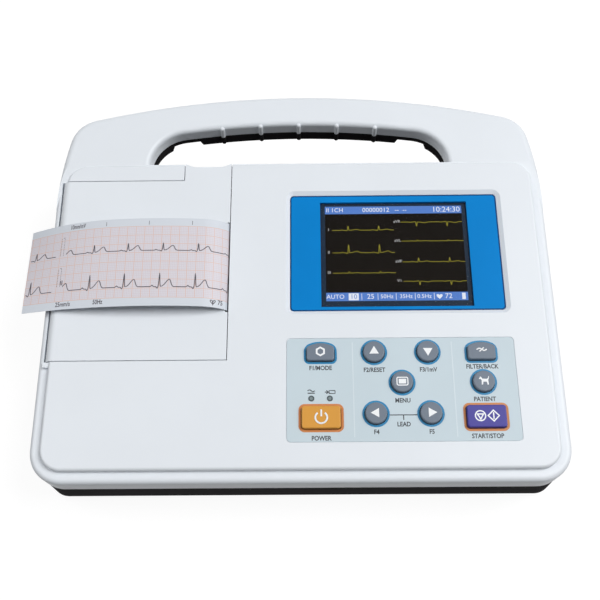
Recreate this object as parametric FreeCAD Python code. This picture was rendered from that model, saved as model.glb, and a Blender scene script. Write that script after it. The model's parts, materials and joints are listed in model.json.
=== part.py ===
import FreeCAD
import Part
import math
import os

V = FreeCAD.Vector

# Units are millimetres and degrees.
# Deck frame: x to the right from the middle of the case, y up the sloping deck from the front edge,
# z out of the deck. Table frame: the same x, y level from the front edge, z up from the table.

# Case
CASE_WIDTH = 252.0
CASE_DEPTH = 209.2
FRONT_HEIGHT = 45.0
TILT = 6.0
WALL = 2.5
FRONT_CORNER = 16.0
SIDE_FROM_BACK = 67.8
SIDE_ARC = 200.0
SIDE_TURN = 12.0
REAR_CORNER = 17.0
LEDGE_WIDTH = 5.5
LEDGE_DROP = 3.0
LEDGE_ROUND = 2.5
DECK_ROUND = 1.6
DECK_REAR_CORNER = 10.0
PARTING_FRONT = 15.0
PARTING_BACK = 7.7
PARTING_INSET = 0.3
DRAFT = 2.5
TUB_CORNER = 20.0
TUB_ROUND = 1.5
TUB_SHARPENING = 0.2
FOOT_GAP = 2.5
FLOOR = 2.3

# Carrying handle
HANDLE_REACH = 42.8
HANDLE_DROP = 0.4
HANDLE_ROUND = 4.0
RAMP_LENGTH = 30.0
GRIP_DEPTH = 18.3
GRIP_ROUND = 2.6
GRIP_HEIGHT = 17.0
OPENING_HALF = 78.2
OPENING_CORNER = 20.0
RIB_PITCH = 20.4
RIB_RADIUS = 1.2
RIB_SINK = 0.4
NOTCH_INNER = 51.0
NOTCH_OUTER = 70.0
NOTCH_HEIGHT = 11.6
NOTCH_SLANT = 2.6
RIB_COUNT = 5

# Paper door
DOOR_FROM_LEFT = 91.3
DOOR_DEPTH = 98.0
DOOR_BACK_GAP = 9.9
DOOR_THICK = 2.5
DOOR_GAP = 0.4
TAB_WIDTH = 24.1
NOTCH_DEPTH = 2.7
BARREL_RADIUS = 4.5
BARREL_GAP = 0.5
HINGE_PIN = 1.5
HINGE_PIN_LENGTH = 10.0
RUNNING_FIT = 0.05
PIN_FIT = 0.02
SLOT_WIDTH = 49.0
SLOT_CUT = 1.2
LIP = 2.0
HOOK_WIDTH = 8.0
HOOK_DROP = 6.5
HOOK_THICK = 1.5
HOOK_BARB = 0.8
HOOK_GAP = 0.15

# Paper and its drive
PAPER_WIDTH = 48.0
PAPER = 0.25
ROLL_RADIUS = 20.0
ROLL_CENTRE_X = -80.0
ROLL_DROP = 4.5
CORE_RADIUS = 8.0
CORE_WALL = 1.5
SPINDLE_PIN = 2.5
TRAY_GAP = 1.0
TRAY_WALL = 1.5
PLATEN_RADIUS = 4.9
PLATEN_DROP = 9.4
PLATEN_OVER = 1.0
SHAFT_RADIUS = 1.5
BUSH_WALL = 1.2
EAR = 2.5
NIP_GAP = 0.4
SLOT_BEND_RADIUS = 2.2
SLOT_BEND_DROP = 1.0
BEND_RADIUS = 22.0
STRIP_RADIUS = 230.0
STRIP_LEAN = 50.0
STRIP_RISE = 6.0
STRIP_OVERHANG = 12.0
MODULE = 0.5
PLATEN_TEETH = 18
IDLER_TEETH = 28
PINION_TEETH = 14
GEAR_WIDTH = 4.0
BACKLASH = 0.15
MESH_GAP = 0.08
PRESSURE_ANGLE = 20.0
ADDENDUM = 0.9
DEDENDUM = 1.25
IDLER_PIN = 1.5
MOTOR_SHAFT = 1.0
IDLER_DIRECTION = -78.0
PINION_DIRECTION = -15.0
MOTOR_RADIUS = 9.0
MOTOR_LENGTH = 15.0
HEAD_THICK = 1.0
HEAD_HEIGHT = 12.0
BRACKET_THICK = 3.0
SPRING_RADIUS = 2.2
SPRING_LENGTH = 5.0
FRAME_WALL = 2.0

# Display and keys
PANEL_FROM_RIGHT = 77.6
LENS_WIDTH = 105.5
LENS_BACK_GAP = 18.9
LENS_FRONT_GAP = 14.9
LENS_DROP = 1.4
LENS_THICK = 1.4
LENS_BEVEL = 2.4
LENS_CORNER = 2.0
WINDOW_WIDTH = 75.0
WINDOW_RIM = 5.9
WINDOW_DOWN = 0.9
WINDOW_THICK = 1.0
LCD_MARGIN = 1.4
LCD_THICK = 3.4
LCD_FRAME = 4.0
LCD_FRAME_FLOOR = 1.0
OVERLAY_WIDTH = 108.9
OVERLAY_DEPTH = 50.6
OVERLAY_Y = 43.5
OVERLAY_THICK = 0.4
OVERLAY_CORNER = 2.0
KEY_Y = 46.4
KEY_ROW = 15.1
KEY_COLUMN = 12.8
OUTER_COLUMN = 38.4
ARCH_ROW = 15.1
WIDE_ROW = -16.9
ROUND_KEY = 5.1
ARCH_WIDTH = 13.2
ARCH_DEPTH = 8.7
ARCH_RISE = 2.0
WIDE_WIDTH = 18.2
WIDE_DEPTH = 10.6
KEY_CORNER = 1.4
KEY_HEIGHT = 2.2
KEY_ROUND = 0.6
KEY_GAP = 0.3
KEY_FLANGE = 1.1
KEY_FLANGE_THICK = 1.0
KEY_TRAVEL = 1.2
MAT_GAP = 1.7
MAT_THICK = 1.0
DOME_RADIUS = 3.0
BOARD = 1.6
LCD_RIBBON = 24.0
KEY_RIBBON = 16.0
LIGHT_RADIUS = 1.4
LIGHT_Y = 38.9
LIGHT_LEFT = -42.9
LIGHT_PITCH = 8.7

# Screws and posts
SCREW_RADIUS = 1.5
SCREW_HEAD = 2.75
SCREW_HEAD_HEIGHT = 2.0
SCREW_REACH = 6.0
SCREW_FIT = 0.1
HEAD_GAP = 0.45
POST_WALL = 1.3
POST_LAND = 4.0
CORNER_POST_IN = 2.0
MIDDLE_POST_OUT = 10.0
REAR_POST_IN = 6.5
ARM_POST_BACK = 12.0
ARM_REACH = 4.0
SMALL_SCREW = 1.2
SMALL_HEAD = 2.2
SMALL_HEAD_HEIGHT = 1.4
SMALL_LENGTH = 5.0
SMALL_POST = 2.8
SMALL_SPARE = 1.5
FOOT_RADIUS = 6.0
FOOT_SUNK = 1.2

# Battery, boards and sockets
BATTERY_WIDTH = 66.0
BATTERY_DEPTH = 36.0
BATTERY_HEIGHT = 20.0
BATTERY_X = -62.0
BATTERY_Y = 36.0
BATTERY_GAP = 0.5
BATTERY_WALL = 1.5
COVER_RIM = 6.2
COVER_GAP = 0.2
MAIN_BOARD_Z = 18.0
MAIN_BOARD_WIDTH = 94.0
MAIN_BOARD_GAP = 0.7
SUPPLY_Z = 12.0
SUPPLY_WIDTH = 82.0
SUPPLY_DEPTH = 26.0
BOARD_POST_IN = 4.0
BOARD_FROM_FRONT = 20.0
BOARD_FROM_PANEL = 16.0
CHIP_SIDE = 20.0
CHIP_HEIGHT = 1.8
CHIP_SPREAD = 20.0
CHIP_BACK = 10.0
CHIP_FRONT = 30.0
BUZZER_RADIUS = 6.0
BUZZER_HEIGHT = 5.0
COIL_WIDTH = 22.0
COIL_DEPTH = 20.0
COIL_HEIGHT = 13.0
CAN_RADIUS = 5.0
CAN_HEIGHT = 16.0
CAN_SPREAD = 24.0
PANEL_INSET = 11.0
PANEL_FRONT = 34.0
PANEL_BACK_GAP = 10.4
PANEL_LOW = 8.0
PANEL_HIGH = 32.0
PANEL_WALL = 2.5
SOCKET_Z = 20.0
PATIENT_IN = 26.0
INLET_IN = 24.0
POST_SPACING = 33.3
HEX_POST = 2.75
HEX_POST_LENGTH = 5.0
HEX_HOLE = 1.42
DSHELL_WIDTH = 24.9
DSHELL_HEIGHT = 8.4
DSHELL_REACH = 6.0
DSHELL_LEAN = 1.7
DSHELL_ROUND = 1.2
SOCKET_FLANGE = 1.0
SOCKET_FLANGE_HEIGHT = 12.0
SOCKET_BACK = 6.0
CONTACT_PITCH = 2.75
CONTACT_ROW = 1.42
CONTACT_RADIUS = 0.6
CONTACT_DEPTH = 4.0
HEX_TAIL = 2.0
HEX_FLOOR = 1.0
INLET_WIDTH = 24.2
INLET_HEIGHT = 15.6
INLET_DEEP = 15.0
INLET_WALL = 1.6
INLET_FLANGE = 3.2
INLET_FLANGE_THICK = 2.0
INLET_CHAMFER = 4.0
BLADE_SPREAD = 7.0
BLADE_RISE = 4.0
BLADE_THICK = 2.0
BLADE_HEIGHT = 4.0
BLADE_TAIL = 4.0
BLADE_SHORT = 1.0
EARTH_RADIUS = 3.0
EARTH_LENGTH = 8.5
EARTH_BASE = 1.5
EARTH_TAIL = 4.0

# Places that follow from the sizes above
HALF = CASE_WIDTH / 2
SLOPE = math.sin(math.radians(TILT))
FALL = math.cos(math.radians(TILT))
SIDE_STRAIGHT = CASE_DEPTH - SIDE_FROM_BACK
CORNER_X = HALF - SIDE_ARC + (SIDE_ARC - REAR_CORNER) * math.cos(math.radians(SIDE_TURN))
CORNER_Y = SIDE_STRAIGHT + (SIDE_ARC - REAR_CORNER) * math.sin(math.radians(SIDE_TURN))
CORNER_RISE = CASE_DEPTH - CORNER_Y
BACK_ARC = (CORNER_X**2 + CORNER_RISE**2 - REAR_CORNER**2) / (2 * (CORNER_RISE - REAR_CORNER))
BACK_CENTRE = CASE_DEPTH - BACK_ARC
BACK_TURN = math.degrees(math.atan2(CORNER_Y - BACK_CENTRE, CORNER_X))
GRIP_ARC = BACK_ARC - GRIP_DEPTH
OPENING_X = OPENING_HALF - OPENING_CORNER
OPENING_Y = BACK_CENTRE + math.sqrt((GRIP_ARC - OPENING_CORNER) ** 2 - OPENING_X**2)
OPENING_TURN = math.degrees(math.atan2(OPENING_Y - BACK_CENTRE, OPENING_X))
OPENING_FRONT = CASE_DEPTH - HANDLE_REACH
PARTING_SLOPE = (PARTING_FRONT - PARTING_BACK) / CASE_DEPTH
DEEP = PARTING_FRONT + WALL
LOW = FRONT_HEIGHT + CASE_DEPTH * SLOPE + WALL

SEAM = DOOR_FROM_LEFT - HALF
DOOR_RIGHT = SEAM - DOOR_GAP
DOOR_BACK = OPENING_FRONT - DOOR_BACK_GAP
DOOR_FRONT = DOOR_BACK - DOOR_DEPTH
SLOT_Y = (DOOR_FRONT + DOOR_BACK) / 2
HINGE_X = WALL + BARREL_GAP + BARREL_RADIUS - HALF
HINGE_Z = -BARREL_RADIUS
HOOK_X = DOOR_RIGHT - TAB_WIDTH / 2
HOOK_LOW = -DOOR_THICK - HOOK_DROP
PAPER_X = DOOR_RIGHT - SLOT_CUT / 2 + PAPER
PLATEN_X = PAPER_X - PAPER / 2 - NIP_GAP - PLATEN_RADIUS
PLATEN_Z = -PLATEN_DROP
PAPER_FRONT = SLOT_Y - PAPER_WIDTH / 2
PAPER_BACK = SLOT_Y + PAPER_WIDTH / 2
PLATEN_FRONT = PAPER_FRONT - PLATEN_OVER
PLATEN_BACK = PAPER_BACK + PLATEN_OVER
EAR_FRONT = PLATEN_FRONT - PLATEN_OVER - EAR
EAR_BACK = PLATEN_BACK + PLATEN_OVER
GEAR_Y = EAR_BACK + EAR + PLATEN_OVER
PLATE_Y = GEAR_Y + GEAR_WIDTH + PLATEN_OVER
ROLL_Z = -ROLL_DROP - ROLL_RADIUS
STRIP_END = -HALF - STRIP_OVERHANG
HEAD_X = PAPER_X + PAPER / 2 + NIP_GAP
BRACKET_X = HEAD_X + HEAD_THICK
SPRING_X = BRACKET_X + BRACKET_THICK
FRAME_X = SPRING_X + SPRING_LENGTH

PANEL_X = HALF - PANEL_FROM_RIGHT
LENS_BACK = OPENING_FRONT - LENS_BACK_GAP
LENS_FRONT = OVERLAY_Y + OVERLAY_DEPTH / 2 + LENS_FRONT_GAP
LENS_DEPTH = LENS_BACK - LENS_FRONT
LENS_Y = (LENS_FRONT + LENS_BACK) / 2
WINDOW_DEPTH = LENS_DEPTH - WINDOW_RIM
WINDOW_Y = LENS_Y - WINDOW_DOWN
LENS_LOW = LENS_DROP + LENS_THICK
SEAT_LOW = LENS_LOW + WALL
LCD_LOW = LENS_LOW + LCD_THICK
FLANGE_LOW = WALL + KEY_FLANGE_THICK
MAT_TOP = FLANGE_LOW + MAT_GAP
MAT_LOW = MAT_TOP + MAT_THICK
KEYBOARD_LOW = MAT_LOW + BOARD
FLOOR_TOP = FOOT_GAP + FLOOR
SOCKET_PANEL = HALF - PANEL_INSET
PANEL_BACK = OPENING_FRONT - PANEL_BACK_GAP
PATIENT_Y = PANEL_FRONT + PATIENT_IN
INLET_Y = PANEL_BACK - INLET_IN
INLET_OUTER_WIDTH = INLET_WIDTH + 2 * INLET_WALL
INLET_OUTER_HEIGHT = INLET_HEIGHT + 2 * INLET_WALL
INLET_BACK = SOCKET_PANEL - INLET_DEEP - INLET_WALL
INLET_FRONT_EDGE = INLET_Y - (INLET_OUTER_WIDTH + INLET_FLANGE) / 2
EARTH_Y = (PATIENT_Y + POST_SPACING / 2 + HEX_POST + INLET_FRONT_EDGE) / 2
MAIN_BOARD_DEPTH = INLET_FRONT_EDGE - MAIN_BOARD_GAP - BOARD_FROM_FRONT

# The origin is under the middle of the whole outline, on the table.
SHIFT_X = -(HALF + STRIP_END) / 2
FRONT_REACH = (LEDGE_DROP + LEDGE_ROUND) * SLOPE
BACK_REACH = (CASE_DEPTH - PARTING_INSET) * FALL + GRIP_HEIGHT * SLOPE
SHIFT_Y = -(FRONT_REACH + BACK_REACH) / 2
ON_DECK = FreeCAD.Placement(V(SHIFT_X, SHIFT_Y, FRONT_HEIGHT), FreeCAD.Rotation(V(1, 0, 0), TILT))
ON_TABLE = FreeCAD.Placement(V(SHIFT_X, SHIFT_Y, 0), FreeCAD.Rotation())
TO_TABLE = ON_TABLE.inverse().multiply(ON_DECK)


def placed(shape, placement):
    """A copy of shape moved by placement."""
    moved = shape.copy()
    moved.Placement = placement.multiply(moved.Placement)
    return moved


def on_table(shape):
    """A deck-frame shape given in the table frame."""
    return placed(shape, TO_TABLE)


def block(x0, x1, y0, y1, z0, z1):
    return Part.makeBox(x1 - x0, y1 - y0, z1 - z0, V(x0, y0, z0))


def plate(x, y, width, depth, z0, z1):
    return block(x - width / 2, x + width / 2, y - depth / 2, y + depth / 2, z0, z1)


def post(x, y, radius, z0, z1):
    return Part.makeCylinder(radius, z1 - z0, V(x, y, z0))


def rod(x, z, radius, y0, y1):
    return Part.makeCylinder(radius, y1 - y0, V(x, y0, z), V(0, 1, 0))


def spoke(y, z, radius, x0, x1):
    return Part.makeCylinder(radius, x1 - x0, V(x0, y, z), V(1, 0, 0))


def line(start, end):
    return Part.makeLine(V(start[0], start[1], 0), V(end[0], end[1], 0))


def arc(x, y, radius, start, end):
    points = []
    for angle in (start, (start + end) / 2, end):
        turn = math.radians(angle)
        points.append(V(x + radius * math.cos(turn), y + radius * math.sin(turn), 0))
    return Part.Arc(*points).toShape()


def face_of(edges):
    return Part.Face(Part.Wire(Part.sortEdges(edges)[0]))


def both_sides(edges):
    return edges + [edge.mirror(V(0, 0, 0), V(1, 0, 0)) for edge in edges]


def prism(face, z0, z1):
    return face.translated(V(0, 0, z0)).extrude(V(0, 0, z1 - z0))


def edges_at(shape, z):
    return [e for e in shape.Edges if all(abs(v.Z - z) < 1e-6 for v in e.Vertexes)]


def arcs_of(edges, radii):
    """The round edges with one of the given radii."""
    found = []
    for edge in edges:
        if any(abs(getattr(edge.Curve, "Radius", 0) - radius) < 1e-3 for radius in radii):
            found.append(edge)
    return found


def upright_edges(shape):
    return [e for e in shape.Edges if e.BoundBox.ZLength > 1e-3 and e.BoundBox.XLength < 1e-6]


def rounded(x0, x1, y0, y1, front, rear):
    """A rectangle with rounded corners, one radius at the front and one at the rear."""
    edges = [
        line((x0 + front, y0), (x1 - front, y0)),
        arc(x1 - front, y0 + front, front, -90, 0),
        line((x1, y0 + front), (x1, y1 - rear)),
        arc(x1 - rear, y1 - rear, rear, 0, 90),
        line((x1 - rear, y1), (x0 + rear, y1)),
        arc(x0 + rear, y1 - rear, rear, 90, 180),
        line((x0, y1 - rear), (x0, y0 + front)),
        arc(x0 + front, y0 + front, front, 180, 270),
    ]
    return face_of(edges)


def centred(x, y, width, depth, corner):
    return rounded(x - width / 2, x + width / 2, y - depth / 2, y + depth / 2, corner, corner)


def outline(inset):
    """Plan of the case, moved inwards by inset."""
    edges = [
        arc(HALF - FRONT_CORNER, FRONT_CORNER, FRONT_CORNER - inset, -90, 0),
        line((HALF - inset, FRONT_CORNER), (HALF - inset, SIDE_STRAIGHT)),
        arc(HALF - SIDE_ARC, SIDE_STRAIGHT, SIDE_ARC - inset, 0, SIDE_TURN),
        arc(CORNER_X, CORNER_Y, REAR_CORNER - inset, SIDE_TURN, BACK_TURN),
    ]
    front = line((FRONT_CORNER - HALF, inset), (HALF - FRONT_CORNER, inset))
    back = arc(0, BACK_CENTRE, BACK_ARC - inset, BACK_TURN, 180 - BACK_TURN)
    return face_of(both_sides(edges) + [front, back])


def opening(grow):
    """Plan of the hand opening, widened by grow."""
    corner = OPENING_CORNER + grow
    front = OPENING_FRONT - grow
    start = math.asin((front - OPENING_Y) / corner)
    end_x = OPENING_X + corner * math.cos(start)
    edges = [arc(OPENING_X, OPENING_Y, corner, math.degrees(start), OPENING_TURN)]
    back = arc(0, BACK_CENTRE, GRIP_ARC + grow, OPENING_TURN, 180 - OPENING_TURN)
    return face_of(both_sides(edges) + [back, line((-end_x, front), (end_x, front))])


def deck_face(inset):
    """Plan of the raised deck."""
    side = HALF - LEDGE_WIDTH - inset
    front = FRONT_CORNER - LEDGE_WIDTH - inset
    return rounded(
        -side, side, LEDGE_WIDTH + inset, OPENING_FRONT - inset, front, DECK_REAR_CORNER - inset
    )


def tub_wire(inset, z):
    """Outline of the lower case at height z: downwards it narrows, and its front corners get sharper."""
    depth = -PARTING_FRONT - z
    inwards = inset + PARTING_INSET + depth * math.tan(math.radians(DRAFT))
    side = HALF - inwards
    front = FRONT_CORNER - inwards - TUB_SHARPENING * depth
    plan = rounded(-side, side, inwards, OPENING_FRONT - inwards, front, TUB_CORNER - inwards)
    return plan.OuterWire.translated(V(0, 0, z))


def tub_solid(inset):
    return Part.makeLoft([tub_wire(inset, -LOW), tub_wire(inset, 0)], True, True)


def above_parting():
    """Everything above the plane where the two halves of the case meet."""
    space = block(-CASE_WIDTH, CASE_WIDTH, -CASE_DEPTH, 2 * CASE_DEPTH, 0, CASE_DEPTH)
    space.rotate(V(0, 0, 0), V(1, 0, 0), math.degrees(math.atan(PARTING_SLOPE)))
    return space.translated(V(0, 0, -PARTING_FRONT))


def parting_at(y):
    return PARTING_SLOPE * y - PARTING_FRONT


def under(z):
    """Everything below a level z in the table frame."""
    return block(-CASE_WIDTH, CASE_WIDTH, -CASE_DEPTH, 2 * CASE_DEPTH, z - CASE_DEPTH, z)


def grip_face_y(x):
    return BACK_CENTRE + math.sqrt(GRIP_ARC**2 - x**2)


def finger_ribs(z0):
    """Beads down the face of the grip, each with a round end in its rounded top edge."""
    top = -HANDLE_DROP - RIB_SINK - RIB_RADIUS
    ribs = []
    for step in range(RIB_COUNT):
        x = (step - (RIB_COUNT - 1) / 2) * RIB_PITCH
        y = grip_face_y(x)
        ribs.append(post(x, y, RIB_RADIUS, z0, top).fuse(Part.makeSphere(RIB_RADIUS, V(x, y, top))))
    return ribs


def corners_of(x, y, across, along):
    return [(x + side * across, y + way * along) for side in (-1, 1) for way in (-1, 1)]


# Where the case screws stand: x, y and the depth of the thread above the parting plane
CASE_POSTS = [
    (FRONT_CORNER - CORNER_POST_IN - HALF, FRONT_CORNER, SCREW_REACH),
    (HALF - FRONT_CORNER + CORNER_POST_IN, FRONT_CORNER, SCREW_REACH),
    (PANEL_X - OVERLAY_WIDTH / 2 - MIDDLE_POST_OUT, FRONT_CORNER, SCREW_REACH),
    (TUB_CORNER + CORNER_POST_IN - HALF, OPENING_FRONT - REAR_POST_IN, SCREW_REACH),
    (HALF - TUB_CORNER - CORNER_POST_IN, OPENING_FRONT - REAR_POST_IN, SCREW_REACH),
    (PANEL_X - LENS_WIDTH / 2 + CORNER_POST_IN, OPENING_FRONT - REAR_POST_IN, SCREW_REACH),
]
ARM_POSTS = [
    (-(OPENING_HALF + HALF) / 2, OPENING_FRONT + ARM_POST_BACK, ARM_REACH),
    ((OPENING_HALF + HALF) / 2, OPENING_FRONT + ARM_POST_BACK, ARM_REACH),
]


def shell_outside():
    """Outside of the upper case: ledge, raised deck and upper half of the handle."""
    ledge = prism(outline(0), -DEEP, -LEDGE_DROP)
    ledge = ledge.makeFillet(LEDGE_ROUND, edges_at(ledge, -LEDGE_DROP))
    ledge = ledge.cut(prism(opening(WALL + GRIP_ROUND), -DEEP, 0))
    deck = prism(deck_face(0), -DEEP, 0)
    deck = deck.makeFillet(DECK_ROUND, edges_at(deck, 0))
    ramp_start = OPENING_FRONT - RAMP_LENGTH
    handle = prism(outline(0), -DEEP, -HANDLE_DROP)
    handle = handle.cut(block(-HALF, HALF, 0, ramp_start, -DEEP, 0))
    handle = handle.cut(prism(opening(0), -DEEP, 0))
    grip = arcs_of(edges_at(handle, -HANDLE_DROP), (GRIP_ARC, OPENING_CORNER))
    handle = handle.makeFillet(GRIP_ROUND, grip)
    rim = edges_at(handle, -HANDLE_DROP)
    sides = [e for e in rim if abs(abs(e.CenterOfMass.x) - HALF) < 1e-3]
    handle = handle.makeFillet(HANDLE_ROUND, sides + arcs_of(rim, (SIDE_ARC, REAR_CORNER, BACK_ARC)))
    drop = LEDGE_DROP + LEDGE_ROUND - HANDLE_DROP
    wedge = block(-CASE_WIDTH, CASE_WIDTH, -2 * RAMP_LENGTH, 0, 0, RAMP_LENGTH)
    wedge.rotate(V(0, 0, 0), V(1, 0, 0), math.degrees(math.atan(drop / RAMP_LENGTH)))
    handle = handle.cut(wedge.translated(V(0, OPENING_FRONT, -HANDLE_DROP)))
    return ledge.fuse([deck, handle])


def shell_inside():
    """Space inside the upper case."""
    space = prism(outline(WALL), -DEEP, -LEDGE_DROP - WALL)
    space = space.fuse(prism(deck_face(WALL), -DEEP, -WALL))
    arms = prism(outline(WALL), -DEEP, -HANDLE_DROP - WALL)
    arms = arms.cut(block(-HALF, HALF, 0, OPENING_FRONT + WALL, -DEEP, 0))
    return space.fuse(arms).cut(prism(opening(WALL), -DEEP, 0))


def arch_face(x, y, grow):
    """Plan of an arched key: square at the front, bowed at the back."""
    half = ARCH_WIDTH / 2 + grow
    front = y - ARCH_DEPTH / 2 - grow
    back = y + ARCH_DEPTH / 2 + grow
    shoulder = back - ARCH_RISE
    right = V(x + half, shoulder, 0)
    left = V(x - half, shoulder, 0)
    edges = [
        line((left.x, front), (right.x, front)),
        line((right.x, front), (right.x, shoulder)),
        Part.Arc(right, V(x, back, 0), left).toShape(),
        line((left.x, shoulder), (left.x, front)),
    ]
    solid = prism(face_of(edges), 0, 1)
    solid = solid.makeFillet(KEY_CORNER + grow, upright_edges(solid))
    return [f for f in solid.Faces if abs(f.CenterOfMass.z) < 1e-6 and f.BoundBox.ZLength < 1e-6][0]


def round_face(x, y, grow):
    return Part.Face(Part.Wire(Part.makeCircle(ROUND_KEY + grow, V(x, y, 0))))


def wide_face(x, y, grow):
    return centred(x, y, WIDE_WIDTH + 2 * grow, WIDE_DEPTH + 2 * grow, KEY_CORNER + grow)


# Each key: its plan and its place
KEYS = {
    "f1_key": (arch_face, PANEL_X - OUTER_COLUMN, KEY_Y + ARCH_ROW),
    "up_key": (round_face, PANEL_X - KEY_COLUMN, KEY_Y + KEY_ROW),
    "down_key": (round_face, PANEL_X + KEY_COLUMN, KEY_Y + KEY_ROW),
    "filter_key": (arch_face, PANEL_X + OUTER_COLUMN, KEY_Y + ARCH_ROW),
    "menu_key": (round_face, PANEL_X, KEY_Y),
    "patient_key": (round_face, PANEL_X + OUTER_COLUMN, KEY_Y),
    "left_key": (round_face, PANEL_X - KEY_COLUMN, KEY_Y - KEY_ROW),
    "right_key": (round_face, PANEL_X + KEY_COLUMN, KEY_Y - KEY_ROW),
    "power_key": (wide_face, PANEL_X - OUTER_COLUMN, KEY_Y + WIDE_ROW),
    "start_key": (wide_face, PANEL_X + OUTER_COLUMN, KEY_Y + WIDE_ROW),
}
LIGHTS = [(PANEL_X + LIGHT_LEFT, LIGHT_Y), (PANEL_X + LIGHT_LEFT + LIGHT_PITCH, LIGHT_Y)]
KEYBOARD_POSTS = corners_of(
    PANEL_X, OVERLAY_Y, OVERLAY_WIDTH / 2 - 2 * SMALL_POST, OVERLAY_DEPTH / 2 - SMALL_POST
)


def keypad_holes(grow, z0, z1):
    holes = [prism(face(x, y, grow), z0, z1) for face, x, y in KEYS.values()]
    return holes + [post(x, y, LIGHT_RADIUS + RUNNING_FIT, z0, z1) for x, y in LIGHTS]


def key_cap(face, x, y):
    top = KEY_HEIGHT
    stem = prism(face(x, y, 0), -FLANGE_LOW, top)
    stem = stem.makeFillet(KEY_ROUND, edges_at(stem, top))
    return stem.fuse(prism(face(x, y, KEY_FLANGE), -FLANGE_LOW, -WALL)).removeSplitter()


def tab_scoop(z0, z1):
    """Shallow finger notch in the back edge of the door's tab."""
    half = TAB_WIDTH / 2 - DOOR_GAP
    radius = (half**2 + NOTCH_DEPTH**2) / (2 * NOTCH_DEPTH)
    return post(DOOR_RIGHT - TAB_WIDTH / 2, OPENING_FRONT + radius - NOTCH_DEPTH, radius, z0, z1)


def upper_housing():
    body = shell_outside().cut(shell_inside())
    above = above_parting()
    seat_plan = centred(PANEL_X, LENS_Y, LENS_WIDTH + 2 * WALL, LENS_DEPTH + 2 * WALL, LENS_CORNER)
    lens_seat = prism(seat_plan, -SEAT_LOW, -WALL / 2)
    door_left = WALL - HALF
    bay_left = HINGE_X + BARREL_RADIUS + BARREL_GAP
    front_face = DOOR_FRONT - DOOR_GAP
    back_face = DOOR_BACK + DOOR_GAP
    lip_low = -DOOR_THICK - LIP
    added = [
        lens_seat,
        block(door_left, SEAM + WALL, front_face - WALL, front_face, -DEEP, -WALL / 2),
        block(door_left, SEAM + WALL, back_face, back_face + WALL, -DEEP, -DOOR_THICK - DOOR_GAP),
        block(bay_left, SEAM - 2 * LIP, front_face - WALL, DOOR_FRONT + LIP, lip_low, -DOOR_THICK),
        block(bay_left, SEAM - TAB_WIDTH - LIP, DOOR_BACK - LIP, back_face + WALL, lip_low, -DOOR_THICK),
    ]
    lug = HINGE_PIN_LENGTH / 2
    lug_low = HINGE_Z - BARREL_RADIUS
    for y0, y1 in ((front_face - lug, front_face), (back_face, back_face + lug)):
        added.append(block(door_left - WALL / 2, bay_left, y0, y1, lug_low, -LEDGE_DROP - WALL / 2))
        added.append(block(HINGE_X - HINGE_PIN, bay_left, y0, y1, lug_low, -WALL / 2))
    catch_face = OPENING_FRONT - WALL - HOOK_BARB
    catch_low = HOOK_LOW + HOOK_THICK + HOOK_GAP
    catch_left = HOOK_X - HOOK_WIDTH / 2
    catch_right = HOOK_X + HOOK_WIDTH / 2
    catch_root = OPENING_FRONT - WALL / 2
    added.append(block(catch_left, catch_right, catch_face, catch_root, catch_low, catch_low + HOOK_THICK))
    pilot = SCREW_RADIUS + SCREW_FIT
    for x, y, reach in CASE_POSTS + ARM_POSTS:
        added.append(post(x, y, pilot + 2 * POST_WALL, -DEEP, -HANDLE_DROP - WALL / 2))
    for x, y in KEYBOARD_POSTS:
        added.append(post(x, y, SMALL_POST, -MAT_LOW, -WALL / 2))
    body = body.fuse(added)
    doorway = block(door_left, SEAM, front_face, back_face, lip_low - LIP, WALL)
    lips = block(bay_left, SEAM, front_face - WALL, back_face + WALL, lip_low - 2 * LIP, -DOOR_THICK)
    tab_left = SEAM - TAB_WIDTH - 2 * DOOR_GAP
    tab_way = block(tab_left, SEAM, DOOR_BACK, OPENING_FRONT + WALL, -DOOR_THICK - DOOR_GAP, WALL)
    lcd_wide = WINDOW_WIDTH + 2 * LCD_MARGIN
    lcd_deep = WINDOW_DEPTH + 2 * LCD_MARGIN
    film = centred(PANEL_X, OVERLAY_Y, OVERLAY_WIDTH + DOOR_GAP, OVERLAY_DEPTH + DOOR_GAP, OVERLAY_CORNER)
    removed = [
        doorway.cut(lips),
        tab_way,
        lens_recess(),
        plate(PANEL_X, WINDOW_Y, lcd_wide, lcd_deep, -SEAT_LOW, 0),
        prism(film, -OVERLAY_THICK, WALL),
    ]
    removed += keypad_holes(KEY_GAP, -DEEP, WALL)
    for y0, y1 in ((front_face - lug, front_face), (back_face, back_face + lug)):
        removed.append(rod(HINGE_X, HINGE_Z, HINGE_PIN + PIN_FIT, y0, y1))
    for x, y, reach in CASE_POSTS + ARM_POSTS:
        removed.append(post(x, y, pilot, -DEEP, parting_at(y) + reach))
    for x, y in KEYBOARD_POSTS:
        removed.append(post(x, y, SMALL_SCREW + SCREW_FIT, -MAT_LOW, MAT_GAP - MAT_LOW + KEY_TRAVEL))
    body = body.cut(removed)
    body = body.fuse(finger_ribs(-DEEP))
    return body.common(above).removeSplitter()


def lens_recess():
    """Sloping-edged recess for the display surround."""
    wide = centred(
        PANEL_X, LENS_Y, LENS_WIDTH + 2 * LENS_BEVEL, LENS_DEPTH + 2 * LENS_BEVEL, LENS_CORNER + LENS_BEVEL
    )
    tight = centred(PANEL_X, LENS_Y, LENS_WIDTH + DOOR_GAP, LENS_DEPTH + DOOR_GAP, LENS_CORNER)
    low = tight.OuterWire.translated(V(0, 0, -LENS_DROP))
    high = wide.OuterWire.translated(V(0, 0, SCREW_FIT))
    slope = Part.makeLoft([low, high], True, True)
    return slope.fuse(prism(tight, -LENS_LOW, -LENS_DROP))


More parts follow.
